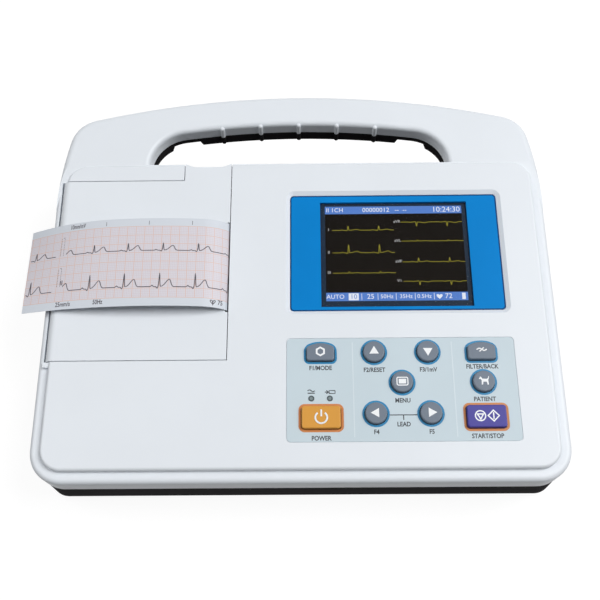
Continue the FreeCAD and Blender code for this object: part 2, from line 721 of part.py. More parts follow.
def grip_notch(side):
    """Notch with slanting ends in the underside of the grip."""
    plan = [
        V(side * NOTCH_INNER, OPENING_FRONT, -GRIP_HEIGHT - LIP),
        V(side * (NOTCH_INNER + NOTCH_SLANT), OPENING_FRONT, -NOTCH_HEIGHT),
        V(side * (NOTCH_OUTER - NOTCH_SLANT), OPENING_FRONT, -NOTCH_HEIGHT),
        V(side * NOTCH_OUTER, OPENING_FRONT, -GRIP_HEIGHT - LIP),
    ]
    return Part.Face(Part.makePolygon(plan + plan[:1])).extrude(V(0, HANDLE_REACH, 0))


def screw_ways(posts, low):
    """Holes for case screws that come up from below: a bore for the head and a hole for the shank."""
    ways = []
    for x, y, reach in posts:
        seat = parting_at(y) - POST_LAND
        ways.append(post(x, y, SCREW_HEAD + HEAD_GAP, low, seat))
        ways.append(post(x, y, SCREW_RADIUS + SCREW_FIT, seat, 0))
    return ways


def screw_post(x, y, low):
    return post(x, y, SCREW_HEAD + HEAD_GAP + POST_WALL, low, 0)


def handle_underside():
    """Lower half of the handle, held by a screw up into each arm of the upper case."""
    start = OPENING_FRONT - TUB_CORNER / 2
    way_in = opening(0)
    front = [e for e in way_in.Edges if abs(e.CenterOfMass.y - OPENING_FRONT) < 1e-6][0]
    shell = prism(outline(PARTING_INSET), -GRIP_HEIGHT, 0)
    shell = shell.cut(
        [
            block(-HALF, HALF, 0, start, -GRIP_HEIGHT, 0),
            block(-front.Length / 2, front.Length / 2, 0, OPENING_FRONT, -GRIP_HEIGHT, 0),
            prism(way_in, -GRIP_HEIGHT, 0),
        ]
    )
    rear = [e for e in edges_at(shell, -GRIP_HEIGHT) if getattr(e.Curve, "Radius", 0) > 0]
    shell = shell.makeFillet(LEDGE_ROUND, rear)
    shell = shell.cut([grip_notch(-1), grip_notch(1)])
    hollow = prism(outline(PARTING_INSET + WALL), WALL - GRIP_HEIGHT, 0)
    hollow = hollow.cut(prism(opening(WALL), -GRIP_HEIGHT, 0))
    inner = NOTCH_INNER - WALL
    outer = NOTCH_OUTER + WALL
    spaces = [
        hollow.common(block(-inner, inner, OPENING_FRONT, CASE_DEPTH, -GRIP_HEIGHT, 0)),
        hollow.common(block(outer, HALF, start, CASE_DEPTH, -GRIP_HEIGHT, 0)),
        hollow.common(block(-HALF, -outer, start, CASE_DEPTH, -GRIP_HEIGHT, 0)),
    ]
    shell = shell.cut(spaces)
    stubs = [screw_post(x, y, -GRIP_HEIGHT) for x, y, reach in ARM_POSTS]
    shell = shell.fuse(stubs + finger_ribs(LEDGE_ROUND - GRIP_HEIGHT))
    shell = shell.cut(screw_ways(ARM_POSTS, -GRIP_HEIGHT) + [tub_solid(0), above_parting()])
    return shell.removeSplitter()


def lower_housing():
    above = on_table(above_parting())
    body = on_table(tub_solid(0)).cut(under(FOOT_GAP))
    base = [e for e in body.Edges if all(abs(v.Z - FOOT_GAP) < 1e-6 for v in e.Vertexes)]
    body = body.makeFillet(TUB_ROUND, base)
    body = body.cut(on_table(tub_solid(WALL)).cut(under(FLOOR_TOP)))
    posts = Part.makeCompound([screw_post(x, y, -LOW) for x, y, reach in CASE_POSTS])
    added = [on_table(posts).cut(under(FOOT_GAP))]
    added.append(battery_walls())
    for x, y in BOARD_POSTS:
        added.append(post(x, y, SMALL_POST, RIM_TOP, MAIN_BOARD_Z))
    for x, y in SUPPLY_POSTS:
        added.append(post(x, y, SMALL_POST, RIM_TOP, SUPPLY_Z))
    for x, y in COVER_SCREWS:
        added.append(post(x, y, SMALL_POST, RIM_TOP, RIM_TOP + SMALL_LENGTH))
    body = body.fuse(added)
    removed = [on_table(way) for way in screw_ways(CASE_POSTS, -LOW)]
    removed.append(block(SOCKET_PANEL, HALF + WALL, PANEL_FRONT, PANEL_BACK, PANEL_LOW, PANEL_HIGH))
    barrel = rod(HINGE_X, HINGE_Z, BARREL_RADIUS + BARREL_GAP, DOOR_FRONT - DOOR_GAP, DOOR_BACK + DOOR_GAP)
    removed.append(on_table(barrel))
    removed += battery_hole()
    for x, y in FEET:
        removed.append(post(x, y, FOOT_RADIUS + SCREW_FIT, 0, FOOT_GAP + FOOT_SUNK))
    thread = SMALL_SCREW + SCREW_FIT
    for x, y in BOARD_POSTS:
        removed.append(post(x, y, thread, MAIN_BOARD_Z - SMALL_LENGTH, MAIN_BOARD_Z))
    for x, y in SUPPLY_POSTS:
        removed.append(post(x, y, thread, SUPPLY_Z - SMALL_LENGTH, SUPPLY_Z))
    for x, y in COVER_SCREWS:
        removed.append(post(x, y, thread, 0, FOOT_GAP + SMALL_LENGTH))
    body = body.cut(removed)
    return body.cut(above).removeSplitter()


def socket_panel():
    """Open box behind a window in the right wall, which carries the sockets."""
    back = SOCKET_PANEL - PANEL_WALL
    low = PANEL_LOW - WALL
    high = PANEL_HIGH + WALL
    box = block(back, HALF, PANEL_FRONT - WALL, PANEL_BACK + WALL, low, high)
    box = box.common(on_table(tub_solid(WALL)))
    space = block(SOCKET_PANEL, HALF, PANEL_FRONT, PANEL_BACK, PANEL_LOW, PANEL_HIGH)
    return box.cut(socket_holes() + [space, on_table(above_parting())]).removeSplitter()


# Places in the table frame
FEET = [
    (side * (HALF - FRONT_CORNER), y)
    for side in (-1, 1)
    for y in (PANEL_FRONT + FOOT_RADIUS, OPENING_FRONT - FRONT_CORNER)
]
MAIN_BOARD_LEFT = SOCKET_PANEL - BOARD_FROM_PANEL - MAIN_BOARD_WIDTH
MAIN_BOARD_X = MAIN_BOARD_LEFT + MAIN_BOARD_WIDTH / 2
MAIN_BOARD_Y = BOARD_FROM_FRONT + MAIN_BOARD_DEPTH / 2
SUPPLY_X = MAIN_BOARD_LEFT + SUPPLY_WIDTH / 2
SUPPLY_Y = OPENING_FRONT - SUPPLY_DEPTH / 2 - WALL
BOARD_POSTS = corners_of(
    MAIN_BOARD_X, MAIN_BOARD_Y, MAIN_BOARD_WIDTH / 2 - BOARD_POST_IN, MAIN_BOARD_DEPTH / 2 - BOARD_POST_IN
)
SUPPLY_POSTS = corners_of(
    SUPPLY_X, SUPPLY_Y, SUPPLY_WIDTH / 2 - BOARD_POST_IN, SUPPLY_DEPTH / 2 - BOARD_POST_IN
)
COVER_WIDTH = BATTERY_WIDTH + 2 * COVER_RIM + 2 * COVER_GAP
COVER_DEPTH = BATTERY_DEPTH + 2 * COVER_RIM
COVER_SCREWS = [(BATTERY_X + side * (COVER_WIDTH / 2 - COVER_RIM / 2), BATTERY_Y) for side in (-1, 1)]
RIM_TOP = FOOT_GAP + FLOOR / 2


def battery_walls():
    wide = BATTERY_WIDTH + 2 * BATTERY_GAP
    deep = BATTERY_DEPTH + 2 * BATTERY_GAP
    top = FLOOR_TOP + BATTERY_HEIGHT - BATTERY_WALL
    rim = 2 * BATTERY_WALL
    outside = plate(BATTERY_X, BATTERY_Y, wide + rim, deep + rim, RIM_TOP, top)
    return outside.cut(plate(BATTERY_X, BATTERY_Y, wide, deep, 0, top))


def battery_hole():
    rim = plate(BATTERY_X, BATTERY_Y, COVER_WIDTH + COVER_GAP, COVER_DEPTH + COVER_GAP, 0, RIM_TOP)
    wide = BATTERY_WIDTH + 2 * BATTERY_GAP
    deep = BATTERY_DEPTH + 2 * BATTERY_GAP
    return [rim, plate(BATTERY_X, BATTERY_Y, wide, deep, 0, FLOOR_TOP)]


def battery_cover():
    rim = plate(BATTERY_X, BATTERY_Y, COVER_WIDTH, COVER_DEPTH, FOOT_GAP, RIM_TOP)
    plug = plate(BATTERY_X, BATTERY_Y, BATTERY_WIDTH, BATTERY_DEPTH, RIM_TOP, FLOOR_TOP)
    holes = [post(x, y, SMALL_SCREW + SCREW_FIT, 0, FLOOR_TOP) for x, y in COVER_SCREWS]
    sinks = [post(x, y, SMALL_HEAD + SCREW_FIT, 0, FOOT_GAP + FLOOR / 4) for x, y in COVER_SCREWS]
    return rim.fuse(plug).cut(holes + sinks)


def small_screw(x, y, seat, up):
    """Screw with its head's underside at height seat, pointing up or down."""
    way = 1 if up else -1
    shank = Part.makeCylinder(SMALL_SCREW, SMALL_LENGTH - SMALL_SPARE, V(x, y, seat), V(0, 0, way))
    head = Part.makeCylinder(SMALL_HEAD, SMALL_HEAD_HEIGHT, V(x, y, seat), V(0, 0, -way))
    return shank.fuse(head)


def case_screw(x, y, reach):
    seat = parting_at(y) - POST_LAND
    shank = post(x, y, SCREW_RADIUS, seat, parting_at(y) + reach - POST_WALL)
    return shank.fuse(post(x, y, SCREW_HEAD, seat - SCREW_HEAD_HEIGHT, seat))


def paper_door():
    top = block(HINGE_X, DOOR_RIGHT, DOOR_FRONT, DOOR_BACK, -DOOR_THICK, 0)
    tab = block(DOOR_RIGHT - TAB_WIDTH, DOOR_RIGHT, DOOR_BACK - LIP, OPENING_FRONT, -DOOR_THICK, 0)
    barrel = rod(HINGE_X, HINGE_Z, BARREL_RADIUS, DOOR_FRONT, DOOR_BACK)
    web = block(HINGE_X, HINGE_X + BARREL_RADIUS, DOOR_FRONT, DOOR_BACK, HINGE_Z, -DOOR_THICK)
    door = top.fuse([tab, barrel, web]).removeSplitter()
    slot = block(
        DOOR_RIGHT - SLOT_CUT, SEAM, SLOT_Y - SLOT_WIDTH / 2, SLOT_Y + SLOT_WIDTH / 2, -DOOR_THICK, WALL
    )
    door = door.cut([slot, tab_scoop(-DOOR_THICK, WALL)])
    ear_left = PLATEN_X - 2 * BUSH_WALL - SHAFT_RADIUS - LIP
    ear_right = PLATEN_X + 2 * BUSH_WALL + SHAFT_RADIUS
    ear_low = PLATEN_Z - 2 * BUSH_WALL - SHAFT_RADIUS
    ears = []
    for y in (EAR_FRONT, EAR_BACK):
        ears.append(block(ear_left, ear_right, y, y + EAR, ear_low, -DOOR_THICK / 2))
    rib_left = HINGE_X + BARREL_RADIUS
    for y in (EAR_FRONT, EAR_BACK):
        ears.append(block(rib_left, ear_left, y, y + EAR / 2, -DOOR_THICK - LIP / 2, -DOOR_THICK / 2))
    tip = OPENING_FRONT - WALL - HOOK_BARB - HOOK_GAP
    stem = tip - HOOK_BARB
    hook_left = HOOK_X - HOOK_WIDTH / 2
    hook_right = HOOK_X + HOOK_WIDTH / 2
    ears.append(block(hook_left, hook_right, stem - HOOK_THICK, stem, HOOK_LOW, -DOOR_THICK / 2))
    ears.append(block(hook_left, hook_right, stem - HOOK_THICK, tip, HOOK_LOW, HOOK_LOW + HOOK_THICK))
    door = door.fuse(ears).removeSplitter()
    holes = [rod(PLATEN_X, PLATEN_Z, SHAFT_RADIUS + BUSH_WALL, EAR_FRONT, EAR_BACK + EAR)]
    bore = HINGE_PIN_LENGTH / 2 + DOOR_GAP
    for y0, y1 in ((DOOR_FRONT, DOOR_FRONT + bore), (DOOR_BACK - bore, DOOR_BACK)):
        holes.append(rod(HINGE_X, HINGE_Z, HINGE_PIN + RUNNING_FIT, y0, y1))
    return door.cut(holes)


def hinge_pins():
    inset = HINGE_PIN_LENGTH / 2
    front = DOOR_FRONT - DOOR_GAP
    back = DOOR_BACK + DOOR_GAP
    return [
        rod(HINGE_X, HINGE_Z, HINGE_PIN, front - inset, front + inset),
        rod(HINGE_X, HINGE_Z, HINGE_PIN, back - inset, back + inset),
    ]


def polar(x, z, radius, angle, y):
    turn = math.radians(angle)
    return V(x + radius * math.cos(turn), y, z + radius * math.sin(turn))


def gear(x, z, teeth, turn, y, bore):
    """Spur gear across the x and z axes with involute flanks, one tooth centred at angle turn."""
    pitch = MODULE * teeth / 2
    base = pitch * math.cos(math.radians(PRESSURE_ANGLE))
    tip = pitch + ADDENDUM * MODULE
    root = pitch - DEDENDUM * MODULE
    thick = (math.pi * MODULE / 2 - BACKLASH) / (2 * pitch)
    start = max(base, root)

    def half_angle(radius):
        def involute(r):
            pressure = math.acos(min(1, base / r))
            return math.tan(pressure) - pressure

        return math.degrees(thick + involute(pitch) - involute(radius))

    step = 360 / teeth
    edges = []
    for tooth in range(teeth):
        middle = turn + tooth * step
        flank = [start, (start + tip) / 2, tip]
        rise = [polar(x, z, root, middle - half_angle(start), y)]
        rise += [polar(x, z, r, middle - half_angle(r), y) for r in flank]
        fall = [polar(x, z, r, middle + half_angle(r), y) for r in reversed(flank)]
        fall += [polar(x, z, root, middle + half_angle(start), y)]
        following = polar(x, z, root, middle + step - half_angle(start), y)
        if start > root:
            edges.append(Part.makeLine(rise[0], rise[1]))
        edges.append(Part.Arc(rise[1], rise[2], rise[3]).toShape())
        edges.append(Part.Arc(rise[3], polar(x, z, tip, middle, y), fall[0]).toShape())
        edges.append(Part.Arc(fall[0], fall[1], fall[2]).toShape())
        if start > root:
            edges.append(Part.makeLine(fall[2], fall[3]))
        edges.append(Part.Arc(fall[3], polar(x, z, root, middle + step / 2, y), following).toShape())
    solid = Part.Face(Part.Wire(edges)).extrude(V(0, GEAR_WIDTH, 0))
    return solid.cut(rod(x, z, bore, y, y + GEAR_WIDTH))


def next_turn(turn, teeth, next_teeth, direction):
    """Turn of a gear that meshes with one already turned, lying in the given direction from it."""
    pitch = MODULE * teeth / 2
    next_pitch = MODULE * next_teeth / 2
    tooth = math.pi * MODULE / 2
    offset = math.radians(turn - direction) * pitch
    return direction + 180 + math.degrees((tooth - offset) / next_pitch)


IDLER_REACH = MODULE * (PLATEN_TEETH + IDLER_TEETH) / 2 + MESH_GAP
PINION_REACH = MODULE * (IDLER_TEETH + PINION_TEETH) / 2 + MESH_GAP
IDLER = polar(PLATEN_X, PLATEN_Z, IDLER_REACH, IDLER_DIRECTION, 0)
PINION = polar(IDLER.x, IDLER.z, PINION_REACH, PINION_DIRECTION, 0)
PLATEN_TURN = IDLER_DIRECTION
IDLER_TURN = next_turn(PLATEN_TURN, PLATEN_TEETH, IDLER_TEETH, IDLER_DIRECTION)
PINION_TURN = next_turn(IDLER_TURN, IDLER_TEETH, PINION_TEETH, PINION_DIRECTION)


def printer_frame():
    """Frame to the right of the slot: back wall, front cheek and rear cheek with the drive."""
    top = -WALL
    low = PINION.z - MOTOR_RADIUS - FRAME_WALL
    front = EAR_FRONT - FRAME_WALL
    right = PINION.x + MOTOR_RADIUS
    back_wall = block(FRAME_X, FRAME_X + FRAME_WALL, front, GEAR_Y - FRAME_WALL, low, top)
    front_cheek = block(BRACKET_X, right, front, front + FRAME_WALL, low, top)
    rear_cheek = block(FRAME_X, right, PLATE_Y, PLATE_Y + FRAME_WALL, low, top)
    arm_left = IDLER.x - IDLER_PIN - 2 * FRAME_WALL
    arm_top = IDLER.z + IDLER_PIN + 2 * FRAME_WALL
    arm = block(arm_left, right, PLATE_Y, PLATE_Y + FRAME_WALL, low, arm_top)
    floor = block(BRACKET_X, right, front, PLATE_Y + FRAME_WALL, low - FRAME_WALL, low)
    frame = back_wall.fuse([front_cheek, rear_cheek, arm, floor])
    holes = [
        rod(IDLER.x, IDLER.z, IDLER_PIN, PLATE_Y, PLATE_Y + FRAME_WALL),
        rod(PINION.x, PINION.z, MOTOR_SHAFT + SCREW_FIT, PLATE_Y, PLATE_Y + FRAME_WALL),
    ]
    return frame.cut(holes).removeSplitter()


def head_bracket():
    top = -WALL - LIP
    low = top - HEAD_HEIGHT - LIP
    return block(BRACKET_X, SPRING_X, PAPER_FRONT - LIP, PAPER_BACK + LIP, low, top)


def thermal_head():
    top = -WALL - LIP
    return block(HEAD_X, BRACKET_X, PAPER_FRONT - LIP, PAPER_BACK + LIP, top - HEAD_HEIGHT, top)


def head_springs():
    return [
        spoke(y, PLATEN_Z, SPRING_RADIUS, SPRING_X, FRAME_X)
        for y in (SLOT_Y - PAPER_WIDTH / 4, SLOT_Y + PAPER_WIDTH / 4)
    ]


def paper_tray():
    """Trough under the roll with end walls whose slots carry the spindle."""
    inside = ROLL_RADIUS + TRAY_GAP
    outside = inside + TRAY_WALL
    front = PAPER_FRONT - 2 * TRAY_WALL
    back = PAPER_BACK + 2 * TRAY_WALL
    trough = rod(ROLL_CENTRE_X, ROLL_Z, outside, front, back).cut(
        rod(ROLL_CENTRE_X, ROLL_Z, inside, front, back)
    )
    reach = outside + TRAY_WALL
    keep = block(ROLL_CENTRE_X - reach, ROLL_CENTRE_X + inside / 3, front, back, ROLL_Z - reach, ROLL_Z)
    trough = trough.common(keep)
    walls = []
    for y in (front, back - TRAY_WALL):
        wall = rod(ROLL_CENTRE_X, ROLL_Z, outside, y, y + TRAY_WALL)
        top = block(ROLL_CENTRE_X - reach, ROLL_CENTRE_X + reach, y, y + TRAY_WALL, ROLL_Z + inside / 3, 0)
        gap = SPINDLE_PIN + 2 * RUNNING_FIT
        slot = rod(ROLL_CENTRE_X, ROLL_Z, gap, y, y + TRAY_WALL)
        way = block(ROLL_CENTRE_X - gap, ROLL_CENTRE_X + gap, y, y + TRAY_WALL, ROLL_Z, 0)
        walls.append(wall.cut([top, slot, way]))
    legs = []
    for x in (ROLL_CENTRE_X - inside / 2, ROLL_CENTRE_X + inside / 4):
        legs.append(block(x - TRAY_WALL, x, front, back, ROLL_Z - 2 * inside, ROLL_Z - inside / 2))
    inner = rod(ROLL_CENTRE_X, ROLL_Z, inside, front + TRAY_WALL, back - TRAY_WALL)
    tray = trough.fuse(walls).fuse([leg.cut(inner) for leg in legs])
    return on_table(tray.removeSplitter()).cut(under(FLOOR_TOP))


def paper_roll():
    whole = rod(ROLL_CENTRE_X, ROLL_Z, ROLL_RADIUS, PAPER_FRONT, PAPER_BACK)
    return whole.cut(rod(ROLL_CENTRE_X, ROLL_Z, CORE_RADIUS, PAPER_FRONT, PAPER_BACK))


def roll_core():
    whole = rod(ROLL_CENTRE_X, ROLL_Z, CORE_RADIUS, PAPER_FRONT, PAPER_BACK)
    return whole.cut(rod(ROLL_CENTRE_X, ROLL_Z, CORE_RADIUS - CORE_WALL, PAPER_FRONT, PAPER_BACK))


def roll_spindle():
    middle = rod(ROLL_CENTRE_X, ROLL_Z, CORE_RADIUS - CORE_WALL, PAPER_FRONT, PAPER_BACK)
    reach = 2 * TRAY_WALL
    pins = rod(ROLL_CENTRE_X, ROLL_Z, SPINDLE_PIN, PAPER_FRONT - reach, PAPER_BACK + reach)
    return middle.fuse(pins).removeSplitter()


def ribbon(edges_left, edges_right):
    """Strip of paper between two lines drawn across the x and z axes."""
    ends = [
        Part.makeLine(edges_left[0].firstVertex().Point, edges_right[0].firstVertex().Point),
        Part.makeLine(edges_left[-1].lastVertex().Point, edges_right[-1].lastVertex().Point),
    ]
    wire = Part.Wire(Part.sortEdges(edges_left + edges_right + ends)[0])
    return Part.Face(wire).extrude(V(0, PAPER_WIDTH, 0))


def bow(x, z, radius, start, end):
    """Arc across the x and z axes at the front edge of the paper."""
    points = [polar(x, z, radius, angle, PAPER_FRONT) for angle in (start, (start + end) / 2, end)]
    return Part.Arc(*points).toShape()


def paper_web():
    """Paper from the underside of the roll to the nip."""
    roll = ROLL_RADIUS + NIP_GAP
    platen = PLATEN_RADIUS + NIP_GAP
    apart = PLATEN_X - ROLL_CENTRE_X
    up = PLATEN_Z - ROLL_Z
    angle = math.degrees(math.atan2(up, apart) - math.acos((roll - platen) / math.hypot(apart, up)))
    sides = []
    for extra in (0, PAPER):
        start = polar(ROLL_CENTRE_X, ROLL_Z, roll + extra, angle, PAPER_FRONT)
        touch = polar(PLATEN_X, PLATEN_Z, platen + extra, angle, PAPER_FRONT)
        sides.append([Part.makeLine(start, touch), bow(PLATEN_X, PLATEN_Z, platen + extra, angle, 0)])
    return ribbon(*sides)


def paper_strip():
    """Paper from the nip up through the slot and over the door to the left."""
    turn = 90 - STRIP_RISE
    low = V(PAPER_X - SLOT_BEND_RADIUS, 0, -SLOT_BEND_DROP)
    first = polar(low.x, low.z, SLOT_BEND_RADIUS, STRIP_LEAN, 0)
    middle = polar(first.x, first.z, BEND_RADIUS, 180 + STRIP_LEAN, 0)
    second = polar(middle.x, middle.z, BEND_RADIUS, turn, 0)
    far = polar(second.x, second.z, STRIP_RADIUS, 180 + turn, 0)
    end = math.degrees(math.acos((STRIP_END - far.x) / STRIP_RADIUS))
    sides = []
    for extra in (-PAPER / 2, PAPER / 2):
        x = PAPER_X + extra
        rise = Part.makeLine(V(x, PAPER_FRONT, PLATEN_Z), V(x, PAPER_FRONT, low.z))
        out = bow(low.x, low.z, SLOT_BEND_RADIUS + extra, 0, STRIP_LEAN)
        over = bow(middle.x, middle.z, BEND_RADIUS + extra, STRIP_LEAN, turn)
        sides.append([rise, out, over, bow(far.x, far.z, STRIP_RADIUS + extra, turn, end)])
    return ribbon(*sides)


def display_lens():
    ring = prism(centred(PANEL_X, LENS_Y, LENS_WIDTH, LENS_DEPTH, LENS_CORNER), -LENS_LOW, -LENS_DROP)
    return ring.cut(plate(PANEL_X, WINDOW_Y, WINDOW_WIDTH, WINDOW_DEPTH, -LENS_LOW, 0))


def display_window():
    return plate(PANEL_X, WINDOW_Y, WINDOW_WIDTH, WINDOW_DEPTH, -LENS_LOW, WINDOW_THICK - LENS_LOW)


def lcd_panel():
    wide = WINDOW_WIDTH + LCD_MARGIN
    deep = WINDOW_DEPTH + LCD_MARGIN
    return plate(PANEL_X, WINDOW_Y, wide, deep, -LCD_LOW, -LENS_LOW)


def lcd_frame():
    wide = WINDOW_WIDTH + LCD_MARGIN
    deep = WINDOW_DEPTH + LCD_MARGIN
    rim = 2 * LCD_FRAME
    tray = plate(PANEL_X, WINDOW_Y, wide + rim, deep + rim, -LCD_LOW - LCD_FRAME_FLOOR, -SEAT_LOW)
    return tray.cut(plate(PANEL_X, WINDOW_Y, wide, deep, -LCD_LOW, -SEAT_LOW))


def keypad_overlay():
    plan = centred(PANEL_X, OVERLAY_Y, OVERLAY_WIDTH, OVERLAY_DEPTH, OVERLAY_CORNER)
    return prism(plan, -OVERLAY_THICK, 0).cut(keypad_holes(KEY_GAP, -OVERLAY_THICK, 0))


def keypad_mat():
    wide = OVERLAY_WIDTH - 2 * WALL
    deep = OVERLAY_DEPTH - WALL
    mat = plate(PANEL_X, OVERLAY_Y, wide, deep, -MAT_LOW, -MAT_TOP)
    top = KEY_TRAVEL + SCREW_FIT - MAT_GAP
    domes = [post(x, y, DOME_RADIUS, -MAT_TOP, -MAT_TOP - top) for face, x, y in KEYS.values()]
    holes = [post(x, y, SMALL_POST + SCREW_FIT, -MAT_LOW, 0) for x, y in KEYBOARD_POSTS]
    holes += [post(x, y, LIGHT_RADIUS + SCREW_FIT, -MAT_LOW, 0) for x, y in LIGHTS]
    return mat.fuse(domes).cut(holes)


def keypad_board():
    board = plate(PANEL_X, OVERLAY_Y, OVERLAY_WIDTH, OVERLAY_DEPTH, -KEYBOARD_LOW, -MAT_LOW)
    return board.cut([post(x, y, SMALL_SCREW + SCREW_FIT, -KEYBOARD_LOW, 0) for x, y in KEYBOARD_POSTS])


def deck_at(y):
    """Height of the deck over the table at a level distance y from the front."""
    return FRONT_HEIGHT + y * SLOPE / FALL


def ribbon_down(x, y, width, top):
    """Flat cable hanging from a board behind the deck to the main board."""
    drop = deck_at(y) - top / FALL
    strip = plate(x, y, width, PAPER, MAIN_BOARD_Z + BOARD, drop + LIP)
    space = on_table(block(-CASE_WIDTH, CASE_WIDTH, -CASE_DEPTH, CASE_DEPTH, -top, CASE_DEPTH))
    return strip.cut(space)


def main_board():
    top = MAIN_BOARD_Z + BOARD
    board = plate(MAIN_BOARD_X, MAIN_BOARD_Y, MAIN_BOARD_WIDTH, MAIN_BOARD_DEPTH, MAIN_BOARD_Z, top)
    return board.cut([post(x, y, SMALL_SCREW + SCREW_FIT, 0, LOW) for x, y in BOARD_POSTS])


def board_parts():
    """Chips on the main board, clear of the two flat cables."""
    top = MAIN_BOARD_Z + BOARD
    places = [
        (MAIN_BOARD_X - CHIP_SPREAD, MAIN_BOARD_Y + CHIP_BACK),
        (MAIN_BOARD_X + CHIP_SPREAD, MAIN_BOARD_Y + CHIP_BACK),
        (MAIN_BOARD_X + CHIP_SPREAD, MAIN_BOARD_Y - CHIP_FRONT),
    ]
    return [plate(x, y, CHIP_SIDE, CHIP_SIDE, top, top + CHIP_HEIGHT) for x, y in places]


def buzzer():
    top = MAIN_BOARD_Z + BOARD
    x = MAIN_BOARD_X - CHIP_SPREAD
    return post(x, MAIN_BOARD_Y - CHIP_FRONT, BUZZER_RADIUS, top, top + BUZZER_HEIGHT)


def supply_board():
    board = plate(SUPPLY_X, SUPPLY_Y, SUPPLY_WIDTH, SUPPLY_DEPTH, SUPPLY_Z, SUPPLY_Z + BOARD)
    return board.cut([post(x, y, SMALL_SCREW + SCREW_FIT, 0, LOW) for x, y in SUPPLY_POSTS])


def supply_parts():
    """Transformer between two capacitors."""
    top = SUPPLY_Z + BOARD
    coil = plate(SUPPLY_X, SUPPLY_Y, COIL_WIDTH, COIL_DEPTH, top, top + COIL_HEIGHT)
    places = (SUPPLY_X - CAN_SPREAD, SUPPLY_X + CAN_SPREAD)
    return [coil] + [post(x, SUPPLY_Y, CAN_RADIUS, top, top + CAN_HEIGHT) for x in places]


def across(y, z, width, height, x0, x1):
    """Block between two planes across x, centred on y and z."""
    return block(x0, x1, y - width / 2, y + width / 2, z - height / 2, z + height / 2)


def socket_shell():
    """Shell of the patient socket, narrower along its lower side."""
    high = SOCKET_Z + DSHELL_HEIGHT / 2
    low = SOCKET_Z - DSHELL_HEIGHT / 2
    half = DSHELL_WIDTH / 2
    corners = [
        V(SOCKET_PANEL, PATIENT_Y - half, high),
        V(SOCKET_PANEL, PATIENT_Y + half, high),
        V(SOCKET_PANEL, PATIENT_Y + half - DSHELL_LEAN, low),
        V(SOCKET_PANEL, PATIENT_Y - half + DSHELL_LEAN, low),
    ]
    shell = Part.Face(Part.makePolygon(corners + corners[:1])).extrude(V(DSHELL_REACH, 0, 0))
    return shell.makeFillet(DSHELL_ROUND, [e for e in shell.Edges if abs(e.Length - DSHELL_REACH) < 1e-6])


POST_PLACES = [PATIENT_Y - POST_SPACING / 2, PATIENT_Y + POST_SPACING / 2]


def patient_socket():
    """Two-row socket: eight contacts above seven, in a shell on a flange."""
    tip = SOCKET_PANEL + DSHELL_REACH
    back = SOCKET_PANEL - PANEL_WALL - SOCKET_BACK
    wide = POST_SPACING + 2 * HEX_POST
    flange_face = SOCKET_PANEL + SOCKET_FLANGE
    flange = across(PATIENT_Y, SOCKET_Z, wide, SOCKET_FLANGE_HEIGHT, SOCKET_PANEL, flange_face)
    inner = across(PATIENT_Y, SOCKET_Z, DSHELL_WIDTH, DSHELL_HEIGHT, back, SOCKET_PANEL)
    holes = [spoke(y, SOCKET_Z, HEX_HOLE, SOCKET_PANEL, tip) for y in POST_PLACES]
    for row, count in ((1, 8), (-1, 7)):
        for step in range(count):
            y = PATIENT_Y + (step - (count - 1) / 2) * CONTACT_PITCH
            holes.append(spoke(y, SOCKET_Z + row * CONTACT_ROW, CONTACT_RADIUS, tip - CONTACT_DEPTH, tip))
    return socket_shell().fuse([flange, inner]).cut(holes).removeSplitter()


def socket_posts():
    """Threaded hexagon posts beside the patient socket, for its plug's screws."""
    posts = []
    start = SOCKET_PANEL + SOCKET_FLANGE
    end = start + HEX_POST_LENGTH
    for y in POST_PLACES:
        points = []
        for step in range(7):
            turn = math.radians(60 * step)
            points.append(V(start, y + HEX_POST * math.cos(turn), SOCKET_Z + HEX_POST * math.sin(turn)))
        nut = Part.Face(Part.makePolygon(points)).extrude(V(HEX_POST_LENGTH, 0, 0))
        nut = nut.cut(spoke(y, SOCKET_Z, HEX_HOLE, start + HEX_FLOOR, end))
        shank = spoke(y, SOCKET_Z, HEX_HOLE - RUNNING_FIT, SOCKET_PANEL - PANEL_WALL - HEX_TAIL, start)
        posts.append(nut.fuse(shank))
    return posts


def mains_inlet():
    """Three-blade appliance inlet with two corners cut off its opening."""
    front = SOCKET_PANEL + INLET_FLANGE_THICK
    body = across(INLET_Y, SOCKET_Z, INLET_OUTER_WIDTH, INLET_OUTER_HEIGHT, INLET_BACK, front)
    flange_wide = INLET_OUTER_WIDTH + INLET_FLANGE
    flange_high = INLET_OUTER_HEIGHT + INLET_FLANGE / 2
    flange = across(INLET_Y, SOCKET_Z, flange_wide, flange_high, SOCKET_PANEL, front)
    space = across(INLET_Y, SOCKET_Z, INLET_WIDTH, INLET_HEIGHT, INLET_BACK + INLET_WALL, front)
    upper = [e for e in space.Edges if e.BoundBox.XLength > 1 and e.CenterOfMass.z > SOCKET_Z]
    space = space.makeChamfer(INLET_CHAMFER, upper)
    return body.fuse(flange).cut([space] + mains_pins()).removeSplitter()


def mains_pins():
    tail = INLET_BACK - BLADE_TAIL
    tip = SOCKET_PANEL - BLADE_SHORT
    places = [(-BLADE_SPREAD, 0), (BLADE_SPREAD, 0), (0, BLADE_RISE)]
    return [across(INLET_Y + y, SOCKET_Z + z, BLADE_THICK, BLADE_HEIGHT, tail, tip) for y, z in places]


def earth_post():
    face = SOCKET_PANEL + EARTH_BASE
    tail = SOCKET_PANEL - PANEL_WALL - EARTH_TAIL
    base = spoke(EARTH_Y, SOCKET_Z, 2 * EARTH_RADIUS, SOCKET_PANEL, face)
    return base.fuse(spoke(EARTH_Y, SOCKET_Z, EARTH_RADIUS, tail, face + EARTH_LENGTH)).removeSplitter()


